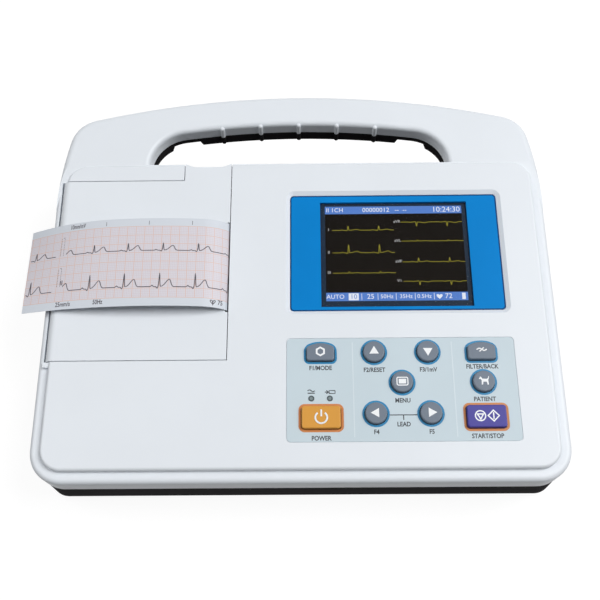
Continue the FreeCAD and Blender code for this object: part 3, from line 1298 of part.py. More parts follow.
def socket_holes():
    """Cut-outs in the socket panel."""
    back = SOCKET_PANEL - PANEL_WALL
    inlet_wide = INLET_OUTER_WIDTH + COVER_GAP
    inlet_high = INLET_OUTER_HEIGHT + COVER_GAP
    shell_wide = DSHELL_WIDTH + COVER_GAP
    shell_high = DSHELL_HEIGHT + COVER_GAP
    holes = [
        across(INLET_Y, SOCKET_Z, inlet_wide, inlet_high, back, SOCKET_PANEL),
        across(PATIENT_Y, SOCKET_Z, shell_wide, shell_high, back, SOCKET_PANEL),
        spoke(EARTH_Y, SOCKET_Z, EARTH_RADIUS + RUNNING_FIT, back, SOCKET_PANEL),
    ]
    return holes + [spoke(y, SOCKET_Z, HEX_HOLE, back, SOCKET_PANEL) for y in POST_PLACES]


def deck_screws():
    """Keypad board screws, pointing up into the deck."""
    return [small_screw(x, y, -KEYBOARD_LOW, True) for x, y in KEYBOARD_POSTS]


def board_screws():
    screws = [placed(screw, TO_TABLE) for screw in deck_screws()]
    screws += [small_screw(x, y, MAIN_BOARD_Z + BOARD, False) for x, y in BOARD_POSTS]
    return screws + [small_screw(x, y, SUPPLY_Z + BOARD, False) for x, y in SUPPLY_POSTS]


def cover_screws():
    return [small_screw(x, y, FOOT_GAP + FLOOR / 4, True) for x, y in COVER_SCREWS]


def bushes():
    rings = []
    for y in (EAR_FRONT, EAR_BACK):
        ring = rod(PLATEN_X, PLATEN_Z, SHAFT_RADIUS + BUSH_WALL, y, y + EAR)
        rings.append(ring.cut(rod(PLATEN_X, PLATEN_Z, SHAFT_RADIUS + RUNNING_FIT, y, y + EAR)))
    return rings


def platen_roller():
    whole = rod(PLATEN_X, PLATEN_Z, PLATEN_RADIUS, PLATEN_FRONT, PLATEN_BACK)
    return whole.cut(rod(PLATEN_X, PLATEN_Z, SHAFT_RADIUS, PLATEN_FRONT, PLATEN_BACK))


DECK_NODES = {
    "upper_housing": upper_housing(),
    "paper_door": paper_door(),
    "door_hinge_pins": hinge_pins(),
    "platen_roller": platen_roller(),
    "platen_shaft": rod(PLATEN_X, PLATEN_Z, SHAFT_RADIUS, EAR_FRONT - PLATEN_OVER, GEAR_Y + GEAR_WIDTH),
    "platen_bushes": bushes(),
    "platen_gear": gear(PLATEN_X, PLATEN_Z, PLATEN_TEETH, PLATEN_TURN, GEAR_Y, SHAFT_RADIUS),
    "idler_gear": gear(IDLER.x, IDLER.z, IDLER_TEETH, IDLER_TURN, GEAR_Y, IDLER_PIN + RUNNING_FIT),
    "idler_pin": rod(IDLER.x, IDLER.z, IDLER_PIN, GEAR_Y, PLATE_Y + FRAME_WALL),
    "motor_pinion": gear(PINION.x, PINION.z, PINION_TEETH, PINION_TURN, GEAR_Y, MOTOR_SHAFT),
    "motor_shaft": rod(PINION.x, PINION.z, MOTOR_SHAFT, GEAR_Y, PLATE_Y + FRAME_WALL),
    "stepper_motor": rod(
        PINION.x, PINION.z, MOTOR_RADIUS, PLATE_Y + FRAME_WALL, PLATE_Y + FRAME_WALL + MOTOR_LENGTH
    ),
    "printer_frame": printer_frame(),
    "thermal_head": thermal_head(),
    "head_bracket": head_bracket(),
    "head_springs": head_springs(),
    "paper_roll": paper_roll(),
    "roll_core": roll_core(),
    "roll_spindle": roll_spindle(),
    "paper_web": paper_web(),
    "paper_strip": paper_strip(),
    "display_lens": display_lens(),
    "display_window": display_window(),
    "lcd_panel": lcd_panel(),
    "lcd_frame": lcd_frame(),
    "keypad_overlay": keypad_overlay(),
    "keypad_mat": keypad_mat(),
    "keypad_board": keypad_board(),
    "indicator_lights": [post(x, y, LIGHT_RADIUS, -MAT_LOW, SCREW_FIT) for x, y in LIGHTS],
    "handle_underside": handle_underside(),
    "case_screws": [case_screw(x, y, reach) for x, y, reach in CASE_POSTS + ARM_POSTS],
}
for name, (face, x, y) in KEYS.items():
    DECK_NODES[name] = key_cap(face, x, y)

TABLE_NODES = {
    "lower_housing": lower_housing(),
    "socket_panel": socket_panel(),
    "paper_tray": paper_tray(),
    "lcd_ribbon": ribbon_down(PANEL_X, WINDOW_Y - WINDOW_DEPTH / 4, LCD_RIBBON, LCD_LOW + LCD_FRAME_FLOOR),
    "keypad_ribbon": ribbon_down(PANEL_X, OVERLAY_Y + OVERLAY_DEPTH / 4, KEY_RIBBON, KEYBOARD_LOW),
    "main_board": main_board(),
    "board_parts": board_parts(),
    "buzzer": buzzer(),
    "supply_board": supply_board(),
    "supply_parts": supply_parts(),
    "battery_pack": plate(
        BATTERY_X, BATTERY_Y, BATTERY_WIDTH, BATTERY_DEPTH, FLOOR_TOP, FLOOR_TOP + BATTERY_HEIGHT
    ),
    "battery_cover": battery_cover(),
    "patient_socket": patient_socket(),
    "socket_posts": socket_posts(),
    "mains_inlet": mains_inlet(),
    "mains_pins": mains_pins(),
    "earth_post": earth_post(),
    "rubber_feet": [post(x, y, FOOT_RADIUS, 0, FOOT_GAP + FOOT_SUNK) for x, y in FEET],
    "small_screws": board_screws() + cover_screws(),
}

os.makedirs("parts", exist_ok=True)
for nodes, placement in ((DECK_NODES, ON_DECK), (TABLE_NODES, ON_TABLE)):
    for name, shape in nodes.items():
        if isinstance(shape, list):
            shape = Part.makeCompound(shape)
        placed(shape, placement).exportStep("parts/" + name + ".step")
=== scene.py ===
import json
import math

import bmesh
import bpy
from mathutils import Matrix, Vector


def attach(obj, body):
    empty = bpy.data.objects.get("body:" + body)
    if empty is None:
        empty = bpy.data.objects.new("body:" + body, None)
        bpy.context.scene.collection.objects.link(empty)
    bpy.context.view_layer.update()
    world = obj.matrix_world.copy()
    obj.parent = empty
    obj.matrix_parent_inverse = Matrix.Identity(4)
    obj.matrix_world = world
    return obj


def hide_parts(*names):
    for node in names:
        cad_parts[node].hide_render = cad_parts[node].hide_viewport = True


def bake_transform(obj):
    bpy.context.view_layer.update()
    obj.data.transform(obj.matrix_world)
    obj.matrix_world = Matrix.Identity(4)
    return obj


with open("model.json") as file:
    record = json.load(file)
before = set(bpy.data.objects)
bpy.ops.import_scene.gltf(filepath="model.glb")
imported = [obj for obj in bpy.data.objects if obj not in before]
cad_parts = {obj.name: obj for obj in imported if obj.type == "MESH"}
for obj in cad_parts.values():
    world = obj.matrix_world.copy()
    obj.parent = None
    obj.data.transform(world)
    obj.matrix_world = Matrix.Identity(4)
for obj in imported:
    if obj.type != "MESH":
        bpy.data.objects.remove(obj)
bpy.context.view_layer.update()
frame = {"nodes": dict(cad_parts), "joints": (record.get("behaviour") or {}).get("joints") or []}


# Upper housing: the white top half of the case, with the sloping deck and half of the handle.
# It is moulded in ABS with a fine matt grain, and screwed to the lower half from below.
MM = 0.001
WHITE = (0.775, 0.815, 0.862)
DRIFT_SIZE = 35.0
DRIFT_DETAIL = 3
NOISE_LOW = 0.3
NOISE_HIGH = 0.7
GLOSS_SPREAD = 0.07
GRAIN_STRENGTH = 0.6


def shaded(colour, factor):
    """The same colour, lighter or darker."""
    return tuple(min(1.0, part * factor) for part in colour) + (1.0,)


def two_shades(nodes, colour, darker, lighter):
    """A ramp between two shades of one colour."""
    shade = nodes.new("ShaderNodeValToRGB")
    shade.color_ramp.elements[0].color = shaded(colour, darker)
    shade.color_ramp.elements[1].color = shaded(colour, lighter)
    return shade


def moulded(name, colour, roughness, grain, relief, drift=0.03, metallic=0.0, specular=0.5):
    """Moulded finish: a slow drift of shade, and a grain that breaks up the gloss. Sizes in millimetres."""
    material = bpy.data.materials.new(name)
    material.use_nodes = True
    nodes = material.node_tree.nodes
    links = material.node_tree.links
    shader = nodes["Principled BSDF"]
    shader.inputs["Metallic"].default_value = metallic
    shader.inputs["Specular IOR Level"].default_value = specular
    place = nodes.new("ShaderNodeTexCoord")
    slow = nodes.new("ShaderNodeTexNoise")
    slow.inputs["Scale"].default_value = 1 / (DRIFT_SIZE * MM)
    slow.inputs["Detail"].default_value = DRIFT_DETAIL
    fine = nodes.new("ShaderNodeTexNoise")
    fine.inputs["Scale"].default_value = 1 / (grain * MM)
    shade = two_shades(nodes, colour, 1 - drift, 1 + drift)
    shade.color_ramp.elements[0].position = NOISE_LOW
    shade.color_ramp.elements[1].position = NOISE_HIGH
    gloss = nodes.new("ShaderNodeMapRange")
    gloss.inputs["To Min"].default_value = roughness - GLOSS_SPREAD
    gloss.inputs["To Max"].default_value = roughness + GLOSS_SPREAD
    bump = nodes.new("ShaderNodeBump")
    bump.inputs["Distance"].default_value = relief * MM
    bump.inputs["Strength"].default_value = GRAIN_STRENGTH
    for texture in (slow, fine):
        links.new(place.outputs["Object"], texture.inputs["Vector"])
    links.new(slow.outputs["Fac"], shade.inputs["Fac"])
    links.new(shade.outputs["Color"], shader.inputs["Base Color"])
    links.new(fine.outputs["Fac"], gloss.inputs["Value"])
    links.new(gloss.outputs["Result"], shader.inputs["Roughness"])
    links.new(fine.outputs["Fac"], bump.inputs["Height"])
    links.new(bump.outputs["Normal"], shader.inputs["Normal"])
    return material


def dress(material, *names):
    """Gives the solids of the frame their finish."""
    for name in names:
        for held in frame["nodes"][name].material_slots:
            held.material = material


white_plastic = moulded("white_plastic", WHITE, 0.42, 0.5, 0.012, drift=0.012)
dress(white_plastic, "upper_housing")


# Lower housing: the near-black bottom half of the case, with the lower half of the handle screwed on.
# Moulded in ABS with a coarser grain; the battery cover and the socket panel in its right side match it.
BLACK = (0.025, 0.0235, 0.025)

black_plastic = moulded("black_plastic", BLACK, 0.6, 0.7, 0.03, drift=0.12, specular=0.002)
dress(black_plastic, "lower_housing", "handle_underside", "socket_panel", "battery_cover")


# Paper door: the white lid over the paper bay, hinged along its left edge on two steel pins.
# Same moulding as the upper housing. Its slot and finger notch are in the solid.
STEEL = (0.5, 0.5, 0.5)

steel = moulded("steel", STEEL, 0.34, 0.25, 0.006, drift=0.06, metallic=1.0)
dress(white_plastic, "paper_door")
dress(steel, "door_hinge_pins")


# Chart roll: thermal paper on a card core, carried on a plastic spindle in an open tray.
# The wound edges of the paper show as fine rings round the roll's axis.
PAPER_WHITE = (0.64, 0.68, 0.74)
CARD = (0.42, 0.3, 0.18)
NATURAL = (0.62, 0.6, 0.54)
LAYER = 0.45
LAYER_WAVER = 0.6
LAYER_SHADES = (0.8, 1.04)
# How far apart the rings of a wave texture are at a scale of 1
RING_UNIT = math.pi / 10


def wound(name, colour, joint, layer):
    """Wound paper: rings round the axis of the joint that turns it, one every layer of millimetres."""
    material = moulded(name, colour, 0.6, 0.3, 0.01, drift=0.02)
    nodes = material.node_tree.nodes
    links = material.node_tree.links
    shader = nodes["Principled BSDF"]
    spin = next(one for one in frame["joints"] if one["name"] == joint)
    axis = Vector(spin["axis"])
    level = axis.to_track_quat("Z", "X").to_matrix().to_4x4()
    middle = level.inverted() @ Vector(spin["pos_m"])
    place = nodes.new("ShaderNodeTexCoord")
    turn = nodes.new("ShaderNodeMapping")
    turn.inputs["Rotation"].default_value = level.inverted().to_euler()
    turn.inputs["Location"].default_value = -middle
    rings = nodes.new("ShaderNodeTexWave")
    rings.wave_type = "RINGS"
    rings.rings_direction = "Z"
    rings.inputs["Scale"].default_value = RING_UNIT / (layer * MM)
    rings.inputs["Distortion"].default_value = LAYER_WAVER
    shade = two_shades(nodes, colour, *LAYER_SHADES)
    links.new(place.outputs["Object"], turn.inputs["Vector"])
    links.new(turn.outputs["Vector"], rings.inputs["Vector"])
    links.new(rings.outputs["Fac"], shade.inputs["Fac"])
    links.new(shade.outputs["Color"], shader.inputs["Base Color"])
    return material


natural_plastic = moulded("natural_plastic", NATURAL, 0.45, 0.6, 0.015)
dress(wound("wound_paper", PAPER_WHITE, "roll_spin", LAYER), "paper_roll")
dress(wound("card_core", CARD, "roll_spin", 2 * LAYER), "roll_core")
dress(natural_plastic, "roll_spindle", "paper_tray")


# Printer: a steel frame with the thermal head on its sprung aluminium bracket, and the drive.
# The rubber platen runs in plastic bushes in the door; the gears are plastic, the pinion brass.
RUBBER = (0.022, 0.022, 0.023)
ALUMINIUM = (0.6, 0.61, 0.62)
BRASS = (0.6, 0.42, 0.16)
HEAD_GLAZE = (0.34, 0.27, 0.2)

rubber = moulded("rubber", RUBBER, 0.7, 0.5, 0.02, drift=0.15)
brass = moulded("brass", BRASS, 0.3, 0.3, 0.006, drift=0.06, metallic=1.0)
dress(steel, "printer_frame", "head_springs", "platen_shaft", "idler_pin", "motor_shaft", "stepper_motor")
dress(moulded("cast_aluminium", ALUMINIUM, 0.4, 0.8, 0.02, drift=0.05, metallic=1.0), "head_bracket")
dress(moulded("head_glaze", HEAD_GLAZE, 0.2, 0.8, 0.004), "thermal_head")
dress(natural_plastic, "platen_bushes", "platen_gear", "idler_gear")
dress(brass, "motor_pinion")
dress(rubber, "platen_roller")


# Chart strip: the printed paper that comes up out of the slot and arches over the door to the left.
# It is one sheet of chart paper with eight squares across.
# The deck's own frame is used from here on: x across, y up the slope, z out of it, in millimetres.
HINGE_X = -118.5
HINGE_Z = -4.5
SLOT_Y = 107.5
PAPER_WIDTH = 47.4
PAPER_X = -35.45
PAPER_THICK = 0.12
NIP_Z = -9.4
RISE_LENGTH = 8.4
# Radius and last angle of each bend after the slot; the third runs on to the free end
STRIP_BENDS = ((2.2, 50.0), (22.0, 84.0), (230.0, None))
STRIP_END_X = -136.8
END_SLANT = 1.2
TWIST_X = -92.0
TWIST = 0.0029
STRIP_STEPS = 160
ACROSS_STEPS = 10
HALVINGS = 40
SQUARES_ACROSS = 8
SMALL_SQUARES = 5
SQUARE_ACROSS = 4.8
SQUARE_ALONG = 4.35
FIELD_MARGIN = 0.2
BIG_WIDTH = 0.34
SMALL_WIDTH = 0.16
FIELD = (0.68, 0.66, 0.71)
BIG_LINE = (0.68, 0.5, 0.46)
SMALL_LINE = (0.635, 0.56, 0.61)
INK = (0.075, 0.068, 0.085)

hinge = next(one for one in frame["joints"] if one["name"] == "door_hinge")
up_deck = -Vector(hinge["axis"])
deck_turn = Matrix.Rotation(math.atan2(up_deck.z, up_deck.y), 4, "X")
deck_origin = Vector(hinge["pos_m"]) - MM * (deck_turn @ Vector((HINGE_X, SLOT_Y, HINGE_Z)))
DECK = Matrix.Translation(deck_origin) @ deck_turn @ Matrix.Scale(MM, 4)

# The same bends with their centre, radius, first angle and length
BENDS = []
x, z, first = PAPER_X, NIP_Z + RISE_LENGTH, 0.0
for radius, last in STRIP_BENDS:
    centre_x = x - radius * math.cos(first)
    centre_z = z - radius * math.sin(first)
    turn = math.acos((STRIP_END_X - centre_x) / radius) if last is None else math.radians(last)
    BENDS.append((centre_x, centre_z, radius, first, radius * (turn - first)))
    x = centre_x + radius * math.cos(turn)
    z = centre_z + radius * math.sin(turn)
    first = turn
STRIP_LENGTH = RISE_LENGTH + sum(bend[4] for bend in BENDS)


def on_strip(along, across, height):
    """Place on the strip: along from the nip, across from its front edge, height off its printed side."""
    y = SLOT_Y - PAPER_WIDTH / 2 + across
    left = along - RISE_LENGTH
    if left < 0:
        return Vector((PAPER_X + height, y, NIP_Z + along))
    number = 0
    while number < len(BENDS) - 1 and left > BENDS[number][4]:
        left -= BENDS[number][4]
        number += 1
    centre_x, centre_z, radius, first = BENDS[number][:4]
    turn = first + left / radius
    x = centre_x + (radius + height) * math.cos(turn)
    droop = TWIST * max(0.0, TWIST_X - x) ** 2 * across / PAPER_WIDTH
    return Vector((x, y, centre_z + (radius + height) * math.sin(turn) - droop))


def along_at(x):
    """How far along the strip it crosses a place on the deck, found by halving."""
    low, high = RISE_LENGTH, STRIP_LENGTH
    for step in range(HALVINGS):
        middle = (low + high) / 2
        if on_strip(middle, 0, 0).x > x:
            low = middle
        else:
            high = middle
    return low


def piece(name, bm, material):
    """A mesh drawn in the deck's frame as an object in its place, with no parent yet."""
    bmesh.ops.recalc_face_normals(bm, faces=bm.faces)
    bm.transform(DECK)
    mesh = bpy.data.meshes.new(name)
    bm.to_mesh(mesh)
    bm.free()
    mesh.materials.append(material)
    made = bpy.data.objects.new(name, mesh)
    bpy.context.scene.collection.objects.link(made)
    return made


def sheet_of(name, length, along_steps, bend, material, slant=0.0):
    """A sheet laid out flat with its own map in millimetres, bent by a function and given its thickness.

    Its back edge is longer than its front edge by the slant of its end.
    """
    bm = bmesh.new()
    bmesh.ops.create_grid(bm, x_segments=along_steps, y_segments=ACROSS_STEPS, size=0.5)
    for vert in bm.verts:
        share = vert.co.y + 0.5
        vert.co.x = (vert.co.x + 0.5) * (length + slant * share)
        vert.co.y = share * PAPER_WIDTH
    chart = bm.loops.layers.uv.new("chart")
    for face in bm.faces:
        for loop in face.loops:
            loop[chart].uv = loop.vert.co.xy
    for vert in bm.verts:
        vert.co = bend(vert.co.x, vert.co.y, 0)
    for face in bm.faces:
        face.smooth = True
    for edge in bm.edges:
        edge.smooth = not edge.is_boundary
    made = piece(name, bm, material)
    wall = made.modifiers.new("thickness", "SOLIDIFY")
    wall.thickness = PAPER_THICK * MM
    wall.offset = 0
    return made


def chart_paper():
    """Coated paper with a printed grid between two plain margins, read from the sheet's own map."""
    material = moulded("chart_paper", PAPER_WHITE, 0.5, 0.25, 0.006, drift=0.015)
    nodes = material.node_tree.nodes
    links = material.node_tree.links
    shader = nodes["Principled BSDF"]
    chart = nodes.new("ShaderNodeUVMap")
    chart.uv_map = "chart"
    parts = nodes.new("ShaderNodeSeparateXYZ")
    links.new(chart.outputs["UV"], parts.inputs["Vector"])

    def worked_out(operation, first, second):
        """The result of one step of arithmetic on numbers or sockets."""
        step = nodes.new("ShaderNodeMath")
        step.operation = operation
        for socket, value in zip(step.inputs, (first, second)):
            if isinstance(value, (int, float)):
                socket.default_value = value
            else:
                links.new(value, socket)
        return step.outputs["Value"]

    from_middle = worked_out("SUBTRACT", parts.outputs["Y"], PAPER_WIDTH / 2)

    def near_line(share, width):
        """1 on the lines of the grid, or of a share of its squares."""
        found = None
        for place, pitch in ((parts.outputs["X"], SQUARE_ALONG), (from_middle, SQUARE_ACROSS)):
            offset = worked_out("PINGPONG", place, pitch * share / 2)
            on_line = worked_out("LESS_THAN", offset, width / 2)
            found = on_line if found is None else worked_out("MAXIMUM", found, on_line)
        return found

    def over(mask, below, above):
        """One colour, or another where the mask is 1."""
        mixed = nodes.new("ShaderNodeMix")
        mixed.data_type = "RGBA"
        links.new(mask, mixed.inputs["Factor"])
        colours = [socket for socket in mixed.inputs if socket.type == "RGBA"]
        for socket, value in zip(colours, (below, above)):
            if isinstance(value, tuple):
                socket.default_value = value + (1.0,)
            else:
                links.new(value, socket)
        return [socket for socket in mixed.outputs if socket.type == "RGBA"][0]

    off_middle = worked_out("ABSOLUTE", from_middle, 0)
    inside = worked_out("LESS_THAN", off_middle, SQUARES_ACROSS * SQUARE_ACROSS / 2 + FIELD_MARGIN)
    printed = over(near_line(1 / SMALL_SQUARES, SMALL_WIDTH), FIELD, SMALL_LINE)
    printed = over(near_line(1, BIG_WIDTH), printed, BIG_LINE)
    links.new(over(inside, PAPER_WHITE, printed), shader.inputs["Base Color"])
    return material


strip = sheet_of("chart_strip", STRIP_LENGTH, STRIP_STEPS, on_strip, chart_paper(), END_SLANT)


def with_strip(made):
    """Fixes a piece where it stands: its place in the world is moved into its mesh."""
    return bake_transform(made)


with_strip(strip)
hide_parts("paper_strip")


# Traces on the strip: two leads of heartbeats, broken by a calibration step, with plain marks.
# They are burnt into the coated paper, and stand a few hundredths of a millimetre off it here.
PEAK_TIME = 0.40
# Height, time and width of the first waves of a beat, and the last wave's time and widths before and after
WAVES = ((0.1, 0.2, 0.03), (-0.12, 0.345, 0.022), (1.0, PEAK_TIME, 0.017))
HUMP_TIME = 0.68
HUMP_RISE = 0.13
HUMP_FALL = 0.06
BEAT_LENGTH = 17.4
BEAT_SKIP = 2.7
# Each lead: its baseline, tallest wave and last wave, where a beat has its peak, and the foot of its step
LEADS = ((29.6, 4.0, 0.66, -67.2, 29.8), (10.0, 7.3, 0.54, -68.1, 12.6))
TRACE_WIDTH = 0.42
TRACE_STEP = 0.1
TRACE_END = 0.4
TRACE_FLAT = 0.2
BREAK_X = (-122.3, -116.8)
CALIBRATION = 10.0
STEP_SIDES = (1.4, 3.0)
DASH_PITCH = 0.9
TICKS_X = (-53.3, -74.9, -96.6)
TICK_FROM_EDGE = (3.6, 1.4)
THIN_WIDTH = 0.24
THIN_FLAT = 0.3
# Each mark: its place on the deck and across the strip, its words, and how narrow they are
MARKS = (
    (-111.7, 45.2, "10mm/mV", 0.58),
    (-115.6, 2.7, "25mm/s", 0.72),
    (-97.9, 2.7, "50Hz", 0.68),
    (-38.6, 2.8, "75", 0.8),
    (-117.6, 14.4, "II", 1.0),
)
MARK_SIZE = 3.4
MARK_BOLD = 0.06
HEART_PLACE = (-42.0, 2.8)
HEART_SIZE = 1.0
HEART_LINE = 0.42
HEART_STEPS = 24
INK_THICK = 0.02


def beat(time, hump):
    """Height of a heartbeat as a share of its tallest wave, at a share of the beat; hump is its last wave."""
    height = sum(tall * math.exp(-(((time - middle) / width) ** 2)) for tall, middle, width in WAVES)
    width = HUMP_RISE if time < HUMP_TIME else HUMP_FALL
    return height + hump * math.exp(-(((time - HUMP_TIME) / width) ** 2))


def stroke_mesh(paths, width):
    """Drawn lines of one width through flat points, as a tube that is flattened when it is placed."""
    curve = bpy.data.curves.new("stroke", "CURVE")
    curve.dimensions = "3D"
    curve.bevel_depth = width / 2
    curve.bevel_resolution = 1
    curve.use_fill_caps = True
    for path in paths:
        spline = curve.splines.new("POLY")
        spline.points.add(len(path) - 1)
        for point, (x, y) in zip(spline.points, path):
            point.co = (x, y, 0, 1)
    drawn = bpy.data.objects.new("stroke", curve)
    mesh = bpy.data.meshes.new_from_object(drawn)
    bpy.data.objects.remove(drawn)
    bpy.data.curves.remove(curve)
    return mesh


def word_mesh(words, size, narrow=1.0, bold=0.0):
    """Plain printed letters as a thin closed mesh, centred on the origin."""
    curve = bpy.data.curves.new("words", "FONT")
    curve.body = words
    curve.size = size
    curve.align_x = "CENTER"
    curve.align_y = "CENTER"
    curve.extrude = INK_THICK
    curve.offset = bold
    curve.resolution_u = 3
    drawn = bpy.data.objects.new("words", curve)
    mesh = bpy.data.meshes.new_from_object(drawn)
    mesh.transform(Matrix.Diagonal((narrow, 1, 1, 1)))
    bpy.data.objects.remove(drawn)
    bpy.data.curves.remove(curve)
    return mesh


def stamp(bm, mesh, x, y, z, flat=1.0):
    """Adds a flat mesh at a place, its height scaled by flat."""
    mesh.transform(Matrix.Translation((x, y, z)) @ Matrix.Diagonal((1, 1, flat, 1)))
    bm.from_mesh(mesh)
    bpy.data.meshes.remove(mesh)


def lead_path(start, end, baseline, tall, hump, peak):
    """One printed lead along the strip; peak is where one of its beats has its tallest wave."""
    points = []
    for step in range(int((end - start) / TRACE_STEP) + 1):
        along = start + step * TRACE_STEP
        time = (PEAK_TIME - (along - peak) / BEAT_LENGTH) % 1.0
        points.append((along, baseline + tall * beat(time, hump)))
    return points


def dotted(start, end):
    """Short dashes from one place to another, as long as the gaps between them."""
    dashes = []
    steps = int((Vector(end) - Vector(start)).length / DASH_PITCH)
    for step in range(steps):
        dash = [Vector(start).lerp(Vector(end), (step + part) / steps) for part in (0, 0.5)]
        dashes.append([tuple(place) for place in dash])
    return dashes


def heart_plan(bm, x, y, z, size):
    """A heart: half a turn of a bent line, mirrored."""
    half = []
    for step in range(HEART_STEPS + 1):
        turn = math.pi * step / HEART_STEPS
        tall = 1.2 * math.cos(turn) - 0.5 * math.cos(2 * turn) - 0.2 * math.cos(3 * turn)
        half.append((1.5 * math.sin(turn) ** 3, tall))
    whole = half + [(-across, tall) for across, tall in reversed(half[1:-1])]
    face = bm.faces.new([bm.verts.new((x + size * across, y + size * tall, z)) for across, tall in whole])
    face.normal_update()


def raise_faces(bm, before, height):
    """Gives the faces made since before a thickness, as closed plates."""
    faces = [face for face in bm.faces if face not in before]
    grown = bmesh.ops.extrude_face_region(bm, geom=faces, use_keep_orig=True)
    top = [part for part in grown["geom"] if isinstance(part, bmesh.types.BMVert)]
    bmesh.ops.translate(bm, vec=(0, 0, height), verts=top)


def band(bm, before, width, height):
    """Turns the flat faces made since before into a band along their edge."""
    whole = [face for face in bm.faces if face not in before]
    bmesh.ops.inset_region(bm, faces=whole, thickness=width, use_boundary=True, use_even_offset=True)
    bmesh.ops.delete(bm, geom=whole, context="FACES")
    raise_faces(bm, before, height)


STEP_FAR, STEP_NEAR = along_at(BREAK_X[0]), along_at(BREAK_X[1])
paths = []
dashes = []
for baseline, tall, hump, peak_x, foot in LEADS:
    peak = along_at(peak_x)
    paths.append(lead_path(RISE_LENGTH, STEP_NEAR, baseline, tall, hump, peak))
    paths.append(lead_path(STEP_FAR, STRIP_LENGTH - TRACE_END, baseline, tall, hump, peak - BEAT_SKIP))
    near, far = [STEP_NEAR + along for along in STEP_SIDES]
    top = foot + CALIBRATION
    dashes += dotted((near, foot), (near, top))
    dashes += dotted((far, foot), (far, top))
    dashes += dotted((near, top), (far, top))
ticks = [[(along_at(x), PAPER_WIDTH - inwards) for inwards in TICK_FROM_EDGE] for x in TICKS_X]
bm = bmesh.new()
stamp(bm, stroke_mesh(paths, TRACE_WIDTH), 0, 0, 0, TRACE_FLAT)
stamp(bm, stroke_mesh(dashes + ticks, THIN_WIDTH), 0, 0, 0, THIN_FLAT)
for x, across, words, narrow in MARKS:
    mesh = word_mesh(words, MARK_SIZE, narrow, MARK_BOLD)
    mesh.transform(Matrix.Rotation(math.pi, 4, "Z") @ Matrix.Diagonal((1, -1, 1, 1)))
    stamp(bm, mesh, along_at(x), across, 0)
before = set(bm.faces)
heart_plan(bm, along_at(HEART_PLACE[0]), HEART_PLACE[1], 0, HEART_SIZE)
band(bm, before, HEART_LINE, INK_THICK)
for vert in bm.verts:
    vert.co = on_strip(vert.co.x, vert.co.y, vert.co.z + PAPER_THICK / 2 + INK_THICK)
ink = moulded("burnt_ink", INK, 0.55, 0.3, 0.004, drift=0.1)
traces = with_strip(piece("chart_traces", bm, ink))


# Paper web: the same paper on its way from the underside of the roll round the platen to the nip.
# It is held by the roll and the platen.
ROLL_X = -80.0
ROLL_Z = -24.5
ROLL_RADIUS = 20.4
PLATEN_X = -40.875
PLATEN_RADIUS = 5.3
PAPER_MIDDLE = 0.125
WEB_STEPS = 60

apart = Vector((PLATEN_X - ROLL_X, NIP_Z - ROLL_Z))
LEAVE = math.atan2(apart.y, apart.x) - math.acos((ROLL_RADIUS - PLATEN_RADIUS) / apart.length)
RUN = math.sqrt(apart.length_squared - (ROLL_RADIUS - PLATEN_RADIUS) ** 2)
WEB_LENGTH = RUN - PLATEN_RADIUS * LEAVE


def on_web(along, across, height):
    """Place on the paper between the roll and the nip."""
    y = SLOT_Y - PAPER_WIDTH / 2 + across
    if along < RUN:
        share = along / RUN
        reach = PLATEN_RADIUS * share + ROLL_RADIUS * (1 - share) + PAPER_MIDDLE
        x = ROLL_X + (PLATEN_X - ROLL_X) * share + reach * math.cos(LEAVE)
        return Vector((x, y, ROLL_Z + (NIP_Z - ROLL_Z) * share + reach * math.sin(LEAVE)))
    turn = LEAVE + (along - RUN) / PLATEN_RADIUS
    reach = PLATEN_RADIUS + PAPER_MIDDLE
    return Vector((PLATEN_X + reach * math.cos(turn), y, NIP_Z + reach * math.sin(turn)))


web = sheet_of("chart_web", WEB_LENGTH, WEB_STEPS, on_web, strip.data.materials[0])
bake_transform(web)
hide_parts("paper_web")


# Display surround and window: a blue plastic frame with a clear pane, glued into a sloping recess.
# The dark border in it is the edge of the display behind the pane.
BLUE = (0.004, 0.225, 0.625)
NAVY = (0.015, 0.029, 0.054)
# The darker blue of the band round the surround's edge is painted shade where the film meets the recess wall
EDGE_SHADE_BLUE = (0.003, 0.06, 0.2)
SURROUND_TOP = -1.4
SURROUND_WIDTH = 105.5
SURROUND_DEPTH = 63.8
SURROUND_Y = 115.6
SURROUND_CORNER = 2.0
SURROUND_EDGE = 0.55
EDGE_THICK = 0.03
CLEAR = (0.02, 0.021, 0.022)
CLEAR_ALPHA = 0.015
CLEAR_IOR = 1.49
PANE_TOP = -1.8
PANE_THICK = 0.6
PANE_CORNER = 0.4
PANE_FIT = 0.1
PANEL_X = 48.4
WINDOW_Y = 114.7
WINDOW_WIDTH = 75.0
WINDOW_DEPTH = 57.9
PANEL_TOP = -2.8


def rounded(bm, verts, corner, segments):
    """Rounds the corners of a flat outline."""
    bmesh.ops.bevel(
        bm, geom=verts, offset=corner, segments=segments, profile=0.5, affect="VERTICES", material=-1
    )


def plate_plan(bm, x, y, z, width, depth, corner, segments=6):
    """A flat rectangle with rounded corners, centred on x and y."""
    verts = bmesh.ops.create_grid(bm, x_segments=1, y_segments=1, size=0.5)["verts"]
    bmesh.ops.scale(bm, vec=(width, depth, 1), verts=verts)
    bmesh.ops.translate(bm, vec=(x, y, z), verts=verts)
    if corner:
        rounded(bm, verts, corner, segments)


def flat_plate(bm, x, y, width, depth, low, thick, corner=0.0):
    """A plate with rounded corners, centred on x and y, with its underside at low."""
    before = set(bm.faces)
    plate_plan(bm, x, y, low, width, depth, corner)
    raise_faces(bm, before, thick)


def flat_frame(bm, x, y, width, depth, low, thick, corner, edge, segments=6):
    """The outline of such a plate, as wide as edge."""
    before = set(bm.faces)
    plate_plan(bm, x, y, low, width, depth, corner, segments)
    band(bm, before, edge, thick)


